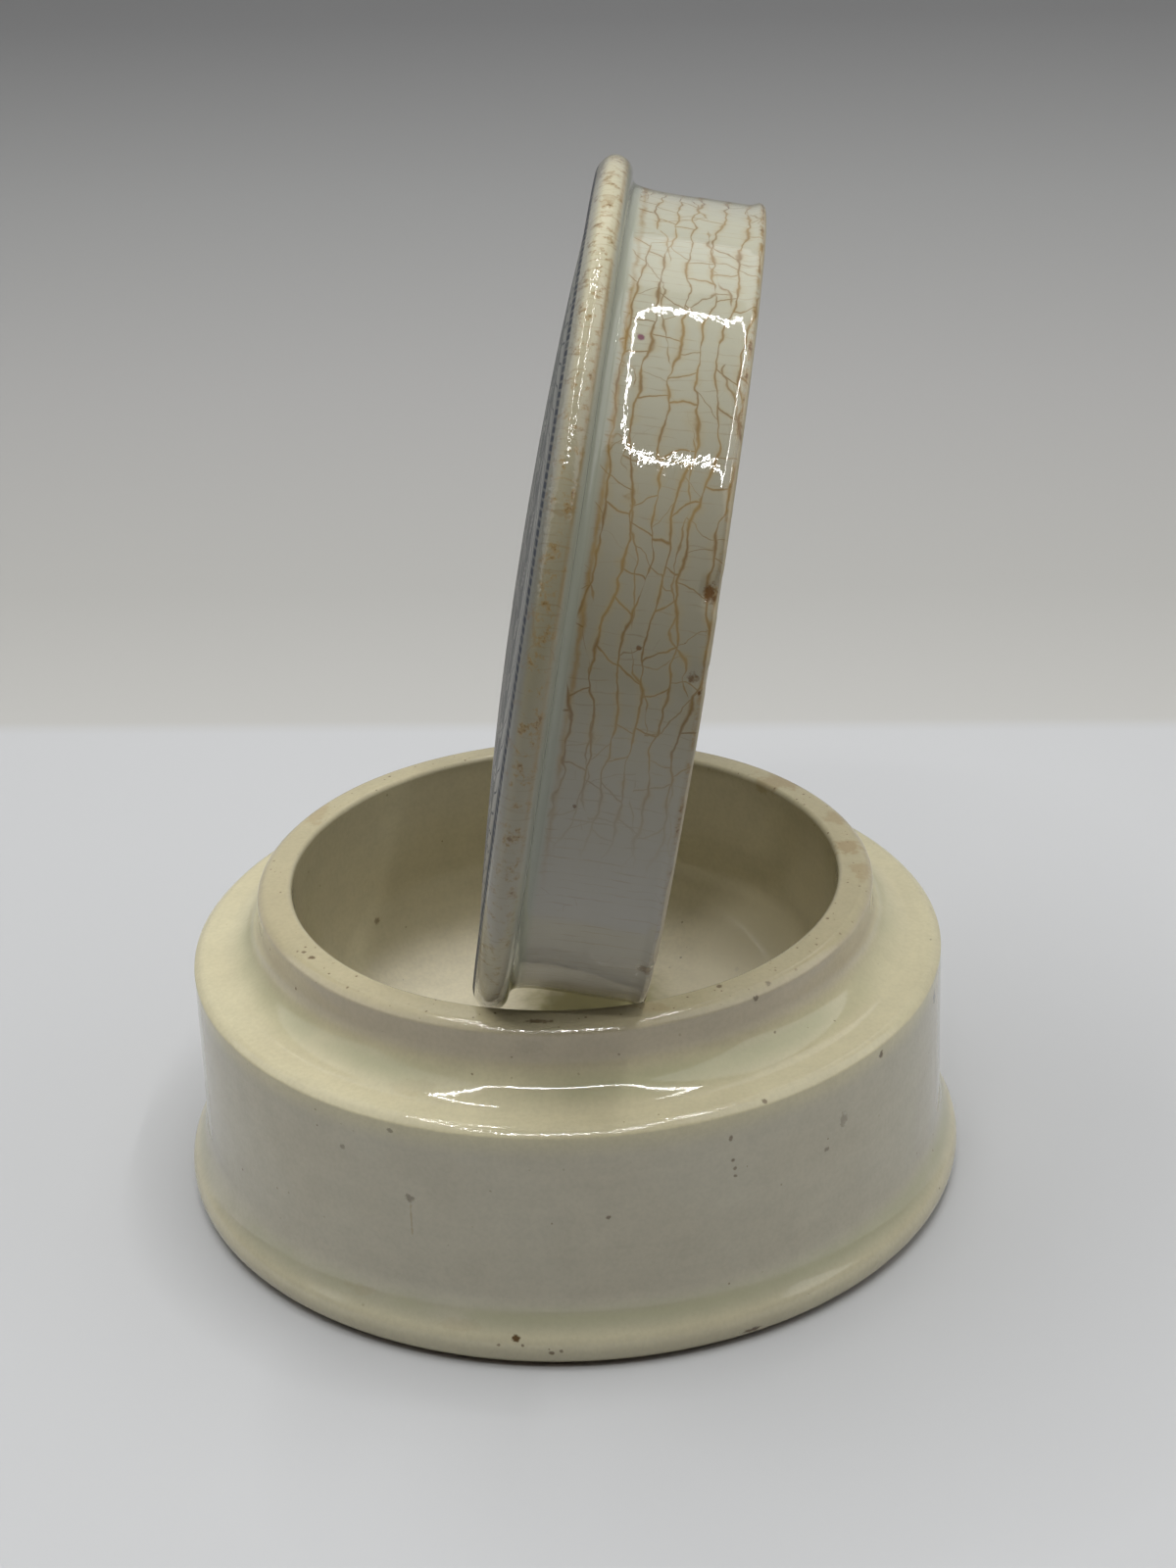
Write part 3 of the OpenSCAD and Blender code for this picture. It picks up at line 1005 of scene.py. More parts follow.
@dataclass(frozen=True)
class CreamGlaze(Finish):
    """Cream glaze over buff ware: pooled in the hollows, specked, and bare where the pot stands.

    The fields are display colours, then the heights (z) and radii (r) between which one of them
    fades into the next, then the size, detail and roughness of noises, then the turning tool's
    traces, depths and the marks.
    """

    name: str = "cream_glaze"
    wall: str = "c3bda9"
    shoulder: str = "d3cba9"
    neck: str = "c4b9a2"
    rim: str = "c0b694"
    well: str = "c6be9f"
    # The inside floor: partly the glaze's own colour, partly painted light, far lighter than the inner wall.
    floor: str = "f5edd2"
    pooled: str = "aeae8a"
    bare: str = "c4ad93"
    brown: str = "5b4326"
    tan: str = "9c8257"
    grey: str = "66645a"
    smudge: str = "6b604e"
    # Painted shadow: the colour that darkens the pot's floor under the lid.
    painted_lid_shadow: str = "a8a27a"
    shoulder_z: Point = (21.0, 24.0)
    foot_z: Point = (4.6, 3.2)
    foot_share: float = 0.65
    neck_z: Point = (26.2, 28.4)
    neck_r: Point = (32.0, 30.5)
    rim_z: Point = (30.0, 30.9)
    inside_z: Point = (8.0, 9.0)
    inside_r: Point = (26.9, 26.2)
    floor_z: Point = (15.0, 11.5)
    specked_z: Point = (30.2, 30.8)
    specked_r: Point = (29.5, 29.0)
    hollow_z: Triple = (24.9, 26.4, 0.7)
    hollow_r: Triple = (28.5, 32.6, 1.0)
    flare_z: Triple = (3.9, 5.6, 1.1)
    flare_r: Point = (35.8, 36.3)
    wiped_z: Point = (0.5, 0.3)
    wiped_r: Point = (31.0, 32.0)
    rough_rim_z: Point = (29.6, 30.3)
    rough_rim_r: Point = (25.5, 26.5)
    rough_edge_z: Triple = (23.4, 25.0, 0.5)
    rough_edge_r: Point = (34.6, 35.2)
    slow: Triple = (14.0, 3.0, 0.55)
    mottle: Triple = (3.0, 3.0, 0.6)
    fine: Triple = (0.45, 2.0, 0.6)
    pooling: Point = (12.0, 2.0)
    skin: Point = (0.9, 0.0)
    grit: Point = (0.38, 1.0)
    waves: Point = (5.0, 1.0)
    tool_lines: float = 1.1
    tool_grooves: float = 0.6
    tool_stretch: float = 0.05
    fine_depth: float = 0.003
    grain_depth: float = 0.0045
    edge_depth: float = 0.018
    tool_depth: float = 0.002
    wave_depth: float = 0.018
    pit_depth: float = 0.03
    worn: tuple[Mark, ...] = marks(
        (27.2, 4.8, 31.0, 1.6, 2.2, 1.6, 0.5), (26.2, 11.4, 31.0, 1.3, 2.6, 1.5, 0.35),
        (28.6, 0.4, 30.8, 1.1, 2.4, 1.2, 0.35), (20.5, 19.2, 31.0, 2.6, 2.6, 1.4, 0.4),
        (-25.6, 12.2, 31.0, 1.2, 3.4, 1.3, 0.3), (3.0, 28.0, 31.0, 5.0, 1.2, 1.3, 0.35),
        (8.9, -25.9, 31.1, 2.4, 1.1, 0.9, 0.25), (-11.9, -29.6, 24.9, 3.5, 1.2, 0.7, 0.12),
        (-12.3, -34.2, 13.6, 0.16, 0.6, 2.0, 0.4), (-8.1, -36.3, 3.8, 2.2, 0.8, 0.5, 0.12),
        (-17.9, -32.2, 4.9, 3.4, 1.4, 0.5, 0.12))
    pits: tuple[Mark, ...] = marks(
        (-3.0, -37.6, 3.24, 0.42, 0.4, 0.38, 0.95), (-2.4, -37.7, 2.7, 0.2, 0.3, 0.2, 0.7),
        (-4.6, -37.6, 2.6, 0.22, 0.3, 0.16, 0.6), (0.2, -38.0, 2.0, 0.3, 0.3, 0.26, 0.75),
        (1.1, -38.0, 2.2, 0.2, 0.3, 0.2, 0.6), (18.2, -33.1, 1.25, 1.3, 0.9, 0.3, 0.9),
        (-0.5, -28.3, 31.1, 1.5, 0.35, 0.3, 0.7), (15.4, -22.2, 31.1, 0.3, 0.3, 0.3, 0.7),
        (-22.4, -16.9, 31.1, 0.42, 0.3, 0.3, 0.8), (-23.2, -15.9, 31.1, 0.26, 0.26, 0.3, 0.7),
        (-20.5, 15.3, 17.1, 0.5, 0.5, 0.55, 0.6), (30.1, -20.1, 22.7, 0.42, 0.4, 0.4, 0.8),
        (19.6, -30.2, 23.9, 0.3, 0.3, 0.42, 0.7), (16.6, -32.2, 21.3, 0.22, 0.25, 0.4, 0.65),
        (16.7, -32.1, 18.9, 0.24, 0.3, 0.24, 0.7), (16.9, -32.0, 18.0, 0.2, 0.3, 0.2, 0.6),
        (16.9, -32.0, 17.2, 0.22, 0.3, 0.2, 0.6), (5.7, -35.8, 15.2, 0.28, 0.3, 0.26, 0.7))
    # Painted shadow: the pot's floor darkened under the lid, where the lid shades it.
    painted_shade: tuple[Mark, ...] = marks(
        (2.0, 6.0, 10.7, 9.0, 12.0, 2.0, 1.0))
    # Painted light: the right of the inside floor and wall lightened in the floor's colour, where the lid
    # shades them.
    pale: tuple[Mark, ...] = marks(
        (18.0, 14.0, 13.5, 10.0, 11.0, 7.0, 0.7), (24.5, 9.0, 21.0, 5.0, 13.0, 10.0, 0.22))
    smears: tuple[Mark, ...] = marks(
        (-12.3, -34.0, 16.0, 0.6, 0.7, 0.45, 0.6), (-13.8, -33.5, 22.8, 0.32, 0.3, 0.26, 0.6),
        (-18.5, -31.1, 19.6, 0.3, 0.3, 0.3, 0.5), (18.7, -22.9, 30.3, 0.3, 0.3, 0.35, 0.8),
        (19.9, -21.2, 30.9, 0.3, 0.3, 0.3, 0.6), (35.3, -8.0, 21.7, 0.6, 0.6, 0.9, 0.7),
        (25.1, -26.1, 16.3, 0.28, 0.3, 0.28, 0.6), (26.6, -24.5, 18.6, 0.5, 0.5, 0.9, 0.4),
        (-1.3, -29.6, 29.2, 1.6, 0.5, 0.8, 0.1), (30.9, 12.0, 20.0, 0.8, 0.8, 1.2, 0.5),
        (-30.0, 19.0, 12.0, 0.6, 0.6, 0.6, 0.6), (10.0, 34.8, 17.0, 0.9, 0.6, 0.7, 0.6))

    def surface(self, ware: Ware) -> tuple[Signal, Signal, Signal]:
        """Build the glaze.

        Args:
            ware: The material's wiring and where it is read.

        Returns:
            Its colour, roughness and height in millimetres.
        """
        w = ware.w
        clouds, mottle = ware.clouds(*self.slow), ware.clouds(*self.mottle)
        share = ware.zone(self.specked_z, self.specked_r) * 0.45 + w.step(clouds, 0.4, 0.7, 0.015, 0.05)
        small = Specks().on(w, Place=ware.place, Spacing=0.6, Share=share, Size=0.17)
        large = Specks().on(w, Place=ware.place, Spacing=5.0, Share=0.3, Size=0.3)
        pits = ware.marked(self.pits, 0.45, 0.5)
        wiped = self.wiped(ware, mottle)
        colour = w.layers(
            self.ground(ware),
            (w.step(clouds, 0.35, 0.7, 0.0, 0.08), self.tan),
            (w.step(mottle, 0.3, 0.7, 0.0, 0.07), self.grey),
            (w.step(self.tooled(ware, self.tool_lines), 0.35, 0.75, 0.0, 0.035), self.grey),
            (w.step(ware.clouds(*self.fine), 0.35, 0.7, 0.0, 0.07), self.grey),
            (self.pools(ware), self.pooled),
            (ware.marked(self.worn, 0.7, 1.6), self.tan),
            (small["Mask"] * w.step(small["Tone"], 0.0, 1.0, 0.2, 0.7), self.brown),
            (large["Mask"] * w.step(large["Tone"], 0.0, 1.0, 0.2, 0.75), self.grey),
            # Painted light: the right of the inside floor and wall lightened.
            (ware.marked(self.pale, 0.03, 6.0), self.floor),
            # Painted shadow: the floor under the lid darkened.
            (ware.marked(self.painted_shade, 0.15, 3.0), self.painted_lid_shadow),
            (ware.marked(self.smears, 0.6, 0.5), self.smudge),
            (pits, self.brown),
            (wiped, self.bare))
        return (colour, w.step(mottle, 0.3, 0.7, 0.03, 0.08) + wiped * 0.6,
                self.grain(ware) - (large["Mask"] | pits) * self.pit_depth)

    def ground(self, ware: Ware) -> Value:
        """The glaze's colour on the wall, the foot, the shoulder, the neck, the rim and inside; partly
        painted light on the floor.

        Args:
            ware: The material's wiring and where it is read.

        Returns:
            The colour.
        """
        step, up = ware.w.step, ware.up
        inside = ware.zone(self.inside_z, self.inside_r)
        return ware.w.layers(
            self.wall,
            (step(up, *self.shoulder_z), self.shoulder),
            (step(up, *self.foot_z, 0.0, self.foot_share), self.shoulder),
            (ware.zone(self.neck_z, self.neck_r), self.neck),
            (step(up, *self.rim_z), self.rim),
            (inside, self.well),
            # Partly painted light: the floor far lighter than the inner wall.
            (inside * step(up, *self.floor_z), self.floor))

    def pools(self, ware: Ware) -> Signal:
        """Where the glaze lies thick and looks green: under the neck and over the foot bead."""
        w = ware.w
        hollow = w.band(ware.up, *self.hollow_z) * w.band(ware.out, *self.hollow_r)
        flare = w.band(ware.up, *self.flare_z) * w.step(ware.out, *self.flare_r)
        return (hollow | flare) * w.step(ware.clouds(*self.pooling), 0.3, 0.62, 0.15, 0.6)

    def wiped(self, ware: Ware, mottle: Signal) -> Signal:
        """The ring that the pot stands on, where the glaze is wiped off up to a ragged edge."""
        ragged = ware.up + (mottle - 0.5) * 0.7
        return ware.w.step(ragged, *self.wiped_z) * ware.w.step(ware.out, *self.wiped_r)

    def tooled(self, ware: Ware, size: float) -> Signal:
        """Noise drawn out round the pot, as a turning tool leaves it."""
        return ware.w.noise(ware.w.point(ware.turn * self.tool_stretch, ware.up + ware.out), size, 1.0)

    def grain(self, ware: Ware) -> Signal:
        """The glaze's relief: fine grain, grain that is deeper on the edges, tool marks and waves.

        Args:
            ware: The material's wiring and where it is read.

        Returns:
            The height in millimetres.
        """
        w = ware.w
        edge = w.band(ware.up, *self.rough_edge_z) * w.step(ware.out, *self.rough_edge_r)
        rough = (ware.zone(self.rough_rim_z, self.rough_rim_r) | edge) * self.edge_depth + self.grain_depth
        return (ware.clouds(*self.skin) * self.fine_depth + ware.clouds(*self.grit) * rough
                + self.tooled(ware, self.tool_grooves) * self.tool_depth
                + ware.clouds(*self.waves) * self.wave_depth)


class Ornament:
    """Lines of a plain turned ornament, drawn on a round face from radius and angle."""

    outer_blur = 0.07
    inner_blur = 0.05
    hatching = 9.0
    engraving = 14.0

    def __init__(self, ware: Ware) -> None:
        """Draw with one material's nodes."""
        self.w = ware.w
        self.out = ware.out
        self.turn = ware.turn

    def line(self, away: Signal, width: float) -> Signal:
        """A line of some width, from the distance to its middle."""
        return self.w.step(abs(away), width / 2 + self.outer_blur, width / 2 - self.inner_blur)

    def ring(self, radius: float, width: float) -> Signal:
        """A ring."""
        return self.line(self.out - radius, width)

    def engraved(self, inner: float, outer: float) -> Signal:
        """Fine close rings between two radii."""
        fine = self.w.step(self.w.math("SINE", self.out * self.engraving), -0.5, 0.3, 0.3, 1.0)
        return self.w.band(self.out, inner, outer, 0.05) * fine

    def hatched(self, inner: float, outer: float, count: int, lean: float) -> Signal:
        """A band of fine slanting strokes between two radii."""
        angle = self.turn * math.radians(count) + self.out * lean
        strokes = self.w.step(self.w.math("SINE", angle), -0.9, -0.2, 0.5, 1.0)
        return strokes * self.w.band(self.out, inner, outer, 0.05)

    def wave(self, radius: float, swing: float, count: int, phase: float, width: float) -> Signal:
        """A line that swings in and out count times on its way round."""
        angle = self.w.math("RADIANS", self.turn * float(count) + phase)
        return self.line(self.out - (self.w.math("SINE", angle) * swing + radius), width)

    def leaves(self, radius: float, count: int, long: float, wide: float, tilt: float,
               phase: float = 0.0) -> Signal:
        """A ring of tilted pointed leaves, hatched inside.

        Args:
            radius: The radius of their middles.
            count: How many there are.
            long: Half of a leaf's length.
            wide: Half of its width.
            tilt: Its tilt from the ring, in degrees.
            phase: Where the first one stands, in shares.

        Returns:
            The ink's mask.
        """
        w = self.w
        part = w.math("FRACT", self.turn * (count / 360.0) + phase) - 0.5
        across, rise = part * (self.out * (2 * math.pi / count)), self.out - radius
        sine, cosine = math.sin(math.radians(tilt)), math.cos(math.radians(tilt))
        along = across * cosine + rise * sine
        aside = rise * cosine - across * sine
        edge = (1.0 - w.math("POWER", abs(along) / long, 2.0)) * wide
        hatch = w.step(w.math("SINE", (along - aside) * self.hatching), -0.4, 0.4, 0.35, 1.0)
        return w.step(abs(aside) - edge, 0.05, -0.08) * hatch * w.step(abs(aside), 0.05, 0.14)

    def face(self) -> Signal:
        """The whole face: hatched border, woven band, leaf wreath, open field and rosette.

        Returns:
            The ink's mask.
        """
        wreath = either([self.leaves(26.9, 36, 1.9, 0.7, 52.0), self.leaves(23.1, 36, 1.8, 0.62, -52.0, 0.5),
                         self.wave(25.0, 0.7, 18, 0.0, 0.3)])
        stars = self.leaves(16.6, 24, 1.5, 0.6, 90.0)
        drawn = [self.hatched(34.1, 38.6, 300, 3.0), self.engraved(21.6, 28.4) * (1.0 - wreath),
                 self.engraved(13.2, 20.0) * (0.8 - stars), self.leaves(9.0, 12, 2.3, 1.0, 90.0),
                 self.leaves(8.4, 12, 1.8, 0.5, 90.0, 0.5), self.leaves(4.2, 8, 1.6, 0.8, 90.0)]
        drawn += [self.wave(31.0, 1.45, 27, phase, 0.26) for phase in (0.0, 120.0, 240.0)]
        drawn += [self.ring(radius, width) for radius, width in (
            (33.7, 0.35), (33.1, 0.16), (29.2, 0.16), (28.6, 0.35), (21.3, 0.3), (20.6, 0.16),
            (12.7, 0.3), (12.1, 0.14), (1.3, 0.5))]
        return either(drawn)


@dataclass(frozen=True)
class CrazedGlaze(Finish):
    """White glaze gone grey, crazed and stained brown, with a print on the face; its sides and face are
    painted darker in places as painted shade.

    The fields are display colours, then the heights (z), radii (r) and angles from the top of the
    standing lid (side) between which one of them fades into the next, then the size, detail and
    roughness of noises and how they are drawn out, then depths and the marks.
    """

    name: str = "crazed_white_glaze"
    # Top, middle and lower shades of the glaze and the bead: the darker middle one is painted shade.
    white: tuple[str, str, str] = ("a8a796", "918c7a", "a9a59c")
    bead: tuple[str, str, str] = ("b9b398", "8c866f", "a39d8c")
    groove: str = "9a9d8e"
    ochre: str = "907a52"
    line: str = "8a7042"
    brown: str = "64482b"
    stain: str = "a08c5e"
    bare: str = "b5a98c"
    ink: str = "2a313d"
    # Painted shade: the grey laid over the face and the face side of the bead.
    tint: str = "6b7074"
    violet: str = "6e3f52"
    wall_r: Point = (35.4, 36.0)
    skirt_z: Point = (11.5, 11.2)
    bead_z: Point = (12.5, 12.9)
    bead_r: Point = (36.7, 37.1)
    crest_r: Point = (37.0, 37.6)
    groove_z: Triple = (11.35, 12.75, 0.45)
    groove_r: Point = (36.0, 36.6)
    upper_seam_z: Triple = (12.85, 13.05, 0.22)
    lower_seam_z: Triple = (10.7, 11.05, 0.24)
    face_z: Point = (14.6, 15.0)
    face_r: Point = (38.9, 38.4)
    # Where the painted shade over the face and the bead's face side sets in.
    tint_z: Point = (14.5, 15.3)
    tint_r: Point = (26.0, 33.0)
    lip_z: Point = (0.4, 0.2)
    edge_z: Triple = (0.2, 0.55, 0.25)
    nicks_z: Triple = (0.2, 0.6, 0.3)
    streaks_r: Point = (30.0, 34.0)
    # Where the painted shade on the lid's sides sets in and where it gives way.
    first_side: Point = (15.0, 65.0)
    last_side: Point = (72.0, 125.0)
    held_side: Point = (108.0, 78.0)
    seam_side: Point = (120.0, 70.0)
    edge_side: Point = (115.0, 85.0)
    fleck_side: Point = (125.0, 80.0)
    # How strong the painted shade on the face is, by the angle from the top.
    tint_side: Point = (130.0, 80.0)
    slow: Triple = (9.0, 3.0, 0.55)
    toning: Triple = (5.0, 2.0, 0.6)
    printing: Triple = (1.1, 3.0, 0.65)
    flecks: Triple = (1.05, 4.0, 0.72)
    wavering: Triple = (2.0, 3.0, 0.6)
    patches: Triple = (3.5, 2.0, 0.6)
    wear: Triple = (1.3, 4.0, 0.7)
    skin: Point = (0.9, 0.0)
    grit: Point = (0.42, 1.0)
    waves: Point = (4.0, 1.0)
    streak_stretch: Triple = (1.6, 0.12, 1.0)
    relief_stretch: Triple = (0.25, 1.4, 1.0)
    hair_mm_a_degree: float = 0.645
    fine_depth: float = 0.008
    grain_depth: float = 0.0065
    crest_depth: float = 0.03
    streak_depth: float = 0.005
    wave_depth: float = 0.025
    pit_depth: float = 0.04
    pits: tuple[Mark, ...] = marks(
        (16.2, -33.4, 0.9, 0.95, 0.8, 0.6, 0.95), (9.6, -35.9, 1.2, 0.5, 0.5, 0.5, 0.75),
        (8.5, -36.3, 0.5, 0.22, 0.3, 0.22, 0.95), (-21.9, -29.9, 0.8, 0.9, 0.9, 0.75, 0.55),
        (28.6, 24.0, 0.8, 0.8, 0.8, 0.5, 0.8), (-17.5, 33.0, 0.8, 0.5, 0.5, 0.4, 0.6),
        (11.3, -35.2, 6.0, 0.25, 0.3, 0.25, 0.8), (-3.3, -36.9, 9.2, 0.2, 0.3, 0.2, 0.8))
    spots: tuple[Mark, ...] = marks((31.96, -18.73, 9.59, 0.4, 0.4, 0.4, 0.85))

    def surface(self, ware: Ware) -> tuple[Signal, Signal, Signal]:
        """Build the glaze.

        Args:
            ware: The material's wiring and where it is read.

        Returns:
            Its colour, roughness and height in millimetres.
        """
        w, up = ware.w, ware.up
        clouds = ware.clouds(*self.slow)
        bead = ware.zone(self.bead_z, self.bead_r)
        faced = ware.zone(self.face_z, self.face_r)
        lines, stain = self.crazing(ware, bead)
        tone = w.step(ware.clouds(*self.toning), 0.35, 0.65)
        # Painted shade: the face and the bead's face side greyer, strongest over the upper part of the
        # standing lid.
        painted_shade = w.step(up, *self.tint_z) * w.step(ware.side, *self.tint_side, 0.1, 0.55)
        ink = Ornament(ware).face() * faced * w.step(ware.clouds(*self.printing), 0.28, 0.5, 0.6, 0.97)
        specks = Specks().on(w, Place=ware.place, Spacing=2.4, Share=0.22, Size=0.15)
        pits = ware.marked(self.pits, 0.5, 0.6)
        lip = w.step(up + w.step(clouds, 0.3, 0.7, -0.1, 0.2), *self.lip_z)
        colour = w.layers(
            self.ground(ware, bead, clouds),
            (stain * 0.26, self.stain),
            (lines * 0.8, w.mix(tone * 0.75, self.line, self.brown)),
            # Painted shade over the face.
            (painted_shade * w.step(ware.out, *self.tint_r, 0.8, 1.0), self.tint),
            (ink, self.ink),
            (specks["Mask"] * 0.7, self.brown),
            (ware.marked(self.spots, 0.2, 0.5), self.violet),
            (pits, self.brown),
            (lip * 0.7, self.bare))
        roughness = w.step(clouds, 0.3, 0.7, 0.02, 0.05) + lip * 0.5 + faced * 0.34 + ink * 0.3
        return colour, roughness, self.grain(ware) - pits * self.pit_depth

    def painted_side_shading(self, ware: Ware, shades: tuple[str, str, str]) -> Value:
        """A colour that goes from the first shade on top over the second to the third below: painted shade,
        darkest round the middle of the standing lid's sides.
        """
        step, side = ware.w.step, ware.side
        top, middle, below = shades
        return ware.w.layers(top, (step(side, *self.first_side), middle),
                             (step(side, *self.last_side), below))

    def ground(self, ware: Ware, bead: Signal, clouds: Signal) -> Value:
        """The glaze's colour on the skirt, in the groove, on the bead and along the lip, with painted shade
        round the middle of the sides.

        Args:
            ware: The material's wiring and where it is read.
            bead: The bead's mask.
            clouds: Slow noise.

        Returns:
            The colour.
        """
        w, up, side = ware.w, ware.up, ware.side
        grooved = w.step(ware.out, *self.groove_r)
        # The bead's colour, with painted shade round the middle of the sides.
        bead_colour = self.painted_side_shading(ware, self.bead)
        streaks = w.step(w.noise(ware.wrapped * self.streak_stretch, 1.0, 2.0), 0.3, 0.75, 0.0, 0.12)
        flecks = ware.clouds(*self.flecks)
        flecked = bead * w.step(side, *self.fleck_side, 0.6, 1.0)
        wavy = up + (ware.clouds(*self.wavering) - 0.5) * 0.9
        seams = ((w.band(up, *self.upper_seam_z) | w.band(wavy, *self.lower_seam_z)) * grooved
                 * w.step(ware.clouds(*self.patches), 0.35, 0.6, 0.3, 1.0) * w.step(side, *self.seam_side))
        worn = ware.clouds(*self.wear)
        above = w.step(side, *self.edge_side, 0.2, 1.0)
        edge = w.band(up, *self.edge_z) * w.step(worn, 0.4, 0.6, 0.2, 0.9)
        nicks = w.band(up, *self.nicks_z) * w.step(worn, 0.58, 0.66)
        return w.layers(
            # Painted shade: the skirt darker round the middle of the sides.
            self.painted_side_shading(ware, self.white),
            (w.step(clouds, 0.3, 0.7, 0.0, 0.2), bead_colour),
            (streaks * w.step(ware.out, *self.streaks_r), bead_colour),
            (bead, bead_colour),
            (flecked * w.step(flecks, 0.515, 0.64, 0.0, 0.8), self.ochre),
            (flecked * w.step(flecks, 0.62, 0.7, 0.0, 0.75), self.brown),
            (w.band(up, *self.groove_z) * grooved * 0.85, self.groove),
            (seams * 0.85, self.line),
            (edge * above, self.line),
            (nicks * above, self.brown))

    def crazing(self, ware: Ware, bead: Signal) -> tuple[Signal, Signal]:
        """The cracks: long ones round the skirt, short ones over the bead, a net on face and ceiling.

        Args:
            ware: The material's wiring and where it is read.
            bead: The bead's mask.

        Returns:
            The lines and the stain beside them.
        """
        w, wrapped = ware.w, ware.wrapped
        main = LongCracks().on(w, Place=wrapped, Slant=0.03, Pitch=1.95, Link=3.7, Wander=0.72,
                               Width=0.185, Whole=0.33, Linked=0.72)
        second = LongCracks().on(w, Place=wrapped + (40.0, 5.1, 9.0), Slant=-0.16, Pitch=4.2, Link=7.0,
                                 Wander=1.0, Width=0.15, Whole=0.44, Linked=0.5)
        upright = w.point(ware.up, ware.turn * self.hair_mm_a_degree)
        hair = LongCracks().on(w, Place=upright, Slant=0.05, Pitch=0.95, Link=4.0, Wander=0.35,
                               Width=0.08, Whole=0.42, Linked=0.3)
        net = CrackNet().on(w, Place=ware.place, Cell=(3.4, 3.4, 4.0), Wander=0.5, Width=0.13,
                            Whole=0.42)["Line"]
        wall = w.step(ware.out, *self.wall_r)
        skirt = wall * w.step(ware.up, *self.skirt_z)
        held = w.step(ware.side, *self.held_side)
        lines = either([(main["Line"] | second["Line"] * 0.85) * (skirt * held),
                        hair["Line"] * 0.32 * (skirt | bead),
                        net * (bead * held * 0.4),
                        net * (1.0 - (wall | bead)) * 0.6])
        return lines, (main["Stain"] | second["Stain"]) * (skirt * held)

    def grain(self, ware: Ware) -> Signal:
        """The glaze's relief: fine grain, grain that is deeper on the bead, streaks and waves.

        Args:
            ware: The material's wiring and where it is read.

        Returns:
            The height in millimetres.
        """
        w = ware.w
        crest = ware.zone(self.bead_z, self.crest_r) * w.step(ware.side, *self.seam_side, 0.15, 1.0)
        streaks = w.noise(ware.wrapped * self.relief_stretch, 0.8, 2.0)
        return (ware.clouds(*self.skin) * self.fine_depth
                + ware.clouds(*self.grit) * (crest * self.crest_depth + self.grain_depth)
                + streaks * w.step(ware.out, *self.streaks_r, 0.0, self.streak_depth)
                + ware.clouds(*self.waves) * self.wave_depth)


# Studio

def hang_lamp(name: str, centre: Triple, width: float, depth: float, radiance: float) -> bpy.types.Object:
    """Hang an area lamp that faces down.

    Args:
        name: Its name.
        centre: Where its middle is.
        width: Its size in its own X.
        depth: Its size in its own Y.
        radiance: How bright its surface is.

    Returns:
        The lamp.
    """
    light = bpy.data.lights.new(name, "AREA")
    light.shape = "RECTANGLE"
    light.size = width * MM
    light.size_y = depth * MM
    light.energy = radiance * math.pi * light.size * light.size_y
    lamp = bpy.data.objects.new(name, light)
    lamp.location = Vector(centre) * MM
    bpy.context.scene.collection.objects.link(lamp)
    return lamp


@dataclass(frozen=True)
class LightFrame:
    """A hollow frame of narrow lamps over the table, facing down."""

    centre: Triple = (-16.0, -50.0, 470.0)
    width: float = 280.0
    depth: float = 370.0
    corner: float = 40.0
    bar: float = 4.5
    back_bar: float = 5.5
    front_bar: float = 8.5
    radiance: float = 80.0

    def build(self) -> None:
        """Hang the four sides and the four corner pieces."""
        half_w, half_d, cut = self.width / 2, self.depth / 2, self.corner
        side_w, side_d, slant = self.width - 2 * cut, self.depth - 2 * cut, cut * math.sqrt(2)
        x, y, z = self.centre
        for name, right, back, turn, length, bar in (
                ("front", 0, -half_d, 0, side_w, self.front_bar),
                ("back", 0, half_d, 0, side_w, self.back_bar),
                ("left", -half_w, 0, 90, side_d, self.bar),
                ("right", half_w, 0, 90, side_d, self.bar),
                ("front_left", -half_w + cut / 2, -half_d + cut / 2, 135, slant, self.bar),
                ("front_right", half_w - cut / 2, -half_d + cut / 2, 45, slant, self.bar),
                ("back_left", -half_w + cut / 2, half_d - cut / 2, 45, slant, self.bar),
                ("back_right", half_w - cut / 2, half_d - cut / 2, 135, slant, self.bar)):
            lamp = hang_lamp(f"lamp_{name}", (x + right, y + back, z), length, bar, self.radiance)
            lamp.rotation_euler = (0.0, 0.0, math.radians(turn))


@dataclass(frozen=True)
class SoftPanel:
    """A wide soft panel that faces a point on the table."""

    name: str
    centre: Triple
    aim: Triple
    width: float
    depth: float
    radiance: float
    mirrored: bool = True

    def build(self) -> None:
        """Hang the panel."""
        panel = hang_lamp(self.name, self.centre, self.width, self.depth, self.radiance)
        facing = Vector(self.aim) - Vector(self.centre)
        panel.rotation_euler = facing.to_track_quat("-Z", "Y").to_euler()
        panel.visible_glossy = self.mirrored


PANELS = (
    SoftPanel("panel_over", (0.0, 0.0, 600.0), (0.0, 0.0, 0.0), 300.0, 300.0, 0.88, False),
    SoftPanel("panel_behind", (-60.0, 110.0, 560.0), (-60.0, 110.0, 0.0), 620.0, 460.0, 0.58, False),
    SoftPanel("panel_far_behind", (0.0, 450.0, 600.0), (0.0, 0.0, 0.0), 600.0, 300.0, 0.87),
    SoftPanel("panel_left", (-500.0, 0.0, 500.0), (0.0, 0.0, 0.0), 640.0, 640.0, 0.92),
    SoftPanel("panel_right", (500.0, 0.0, 500.0), (0.0, 0.0, 0.0), 640.0, 640.0, 1.28),
)


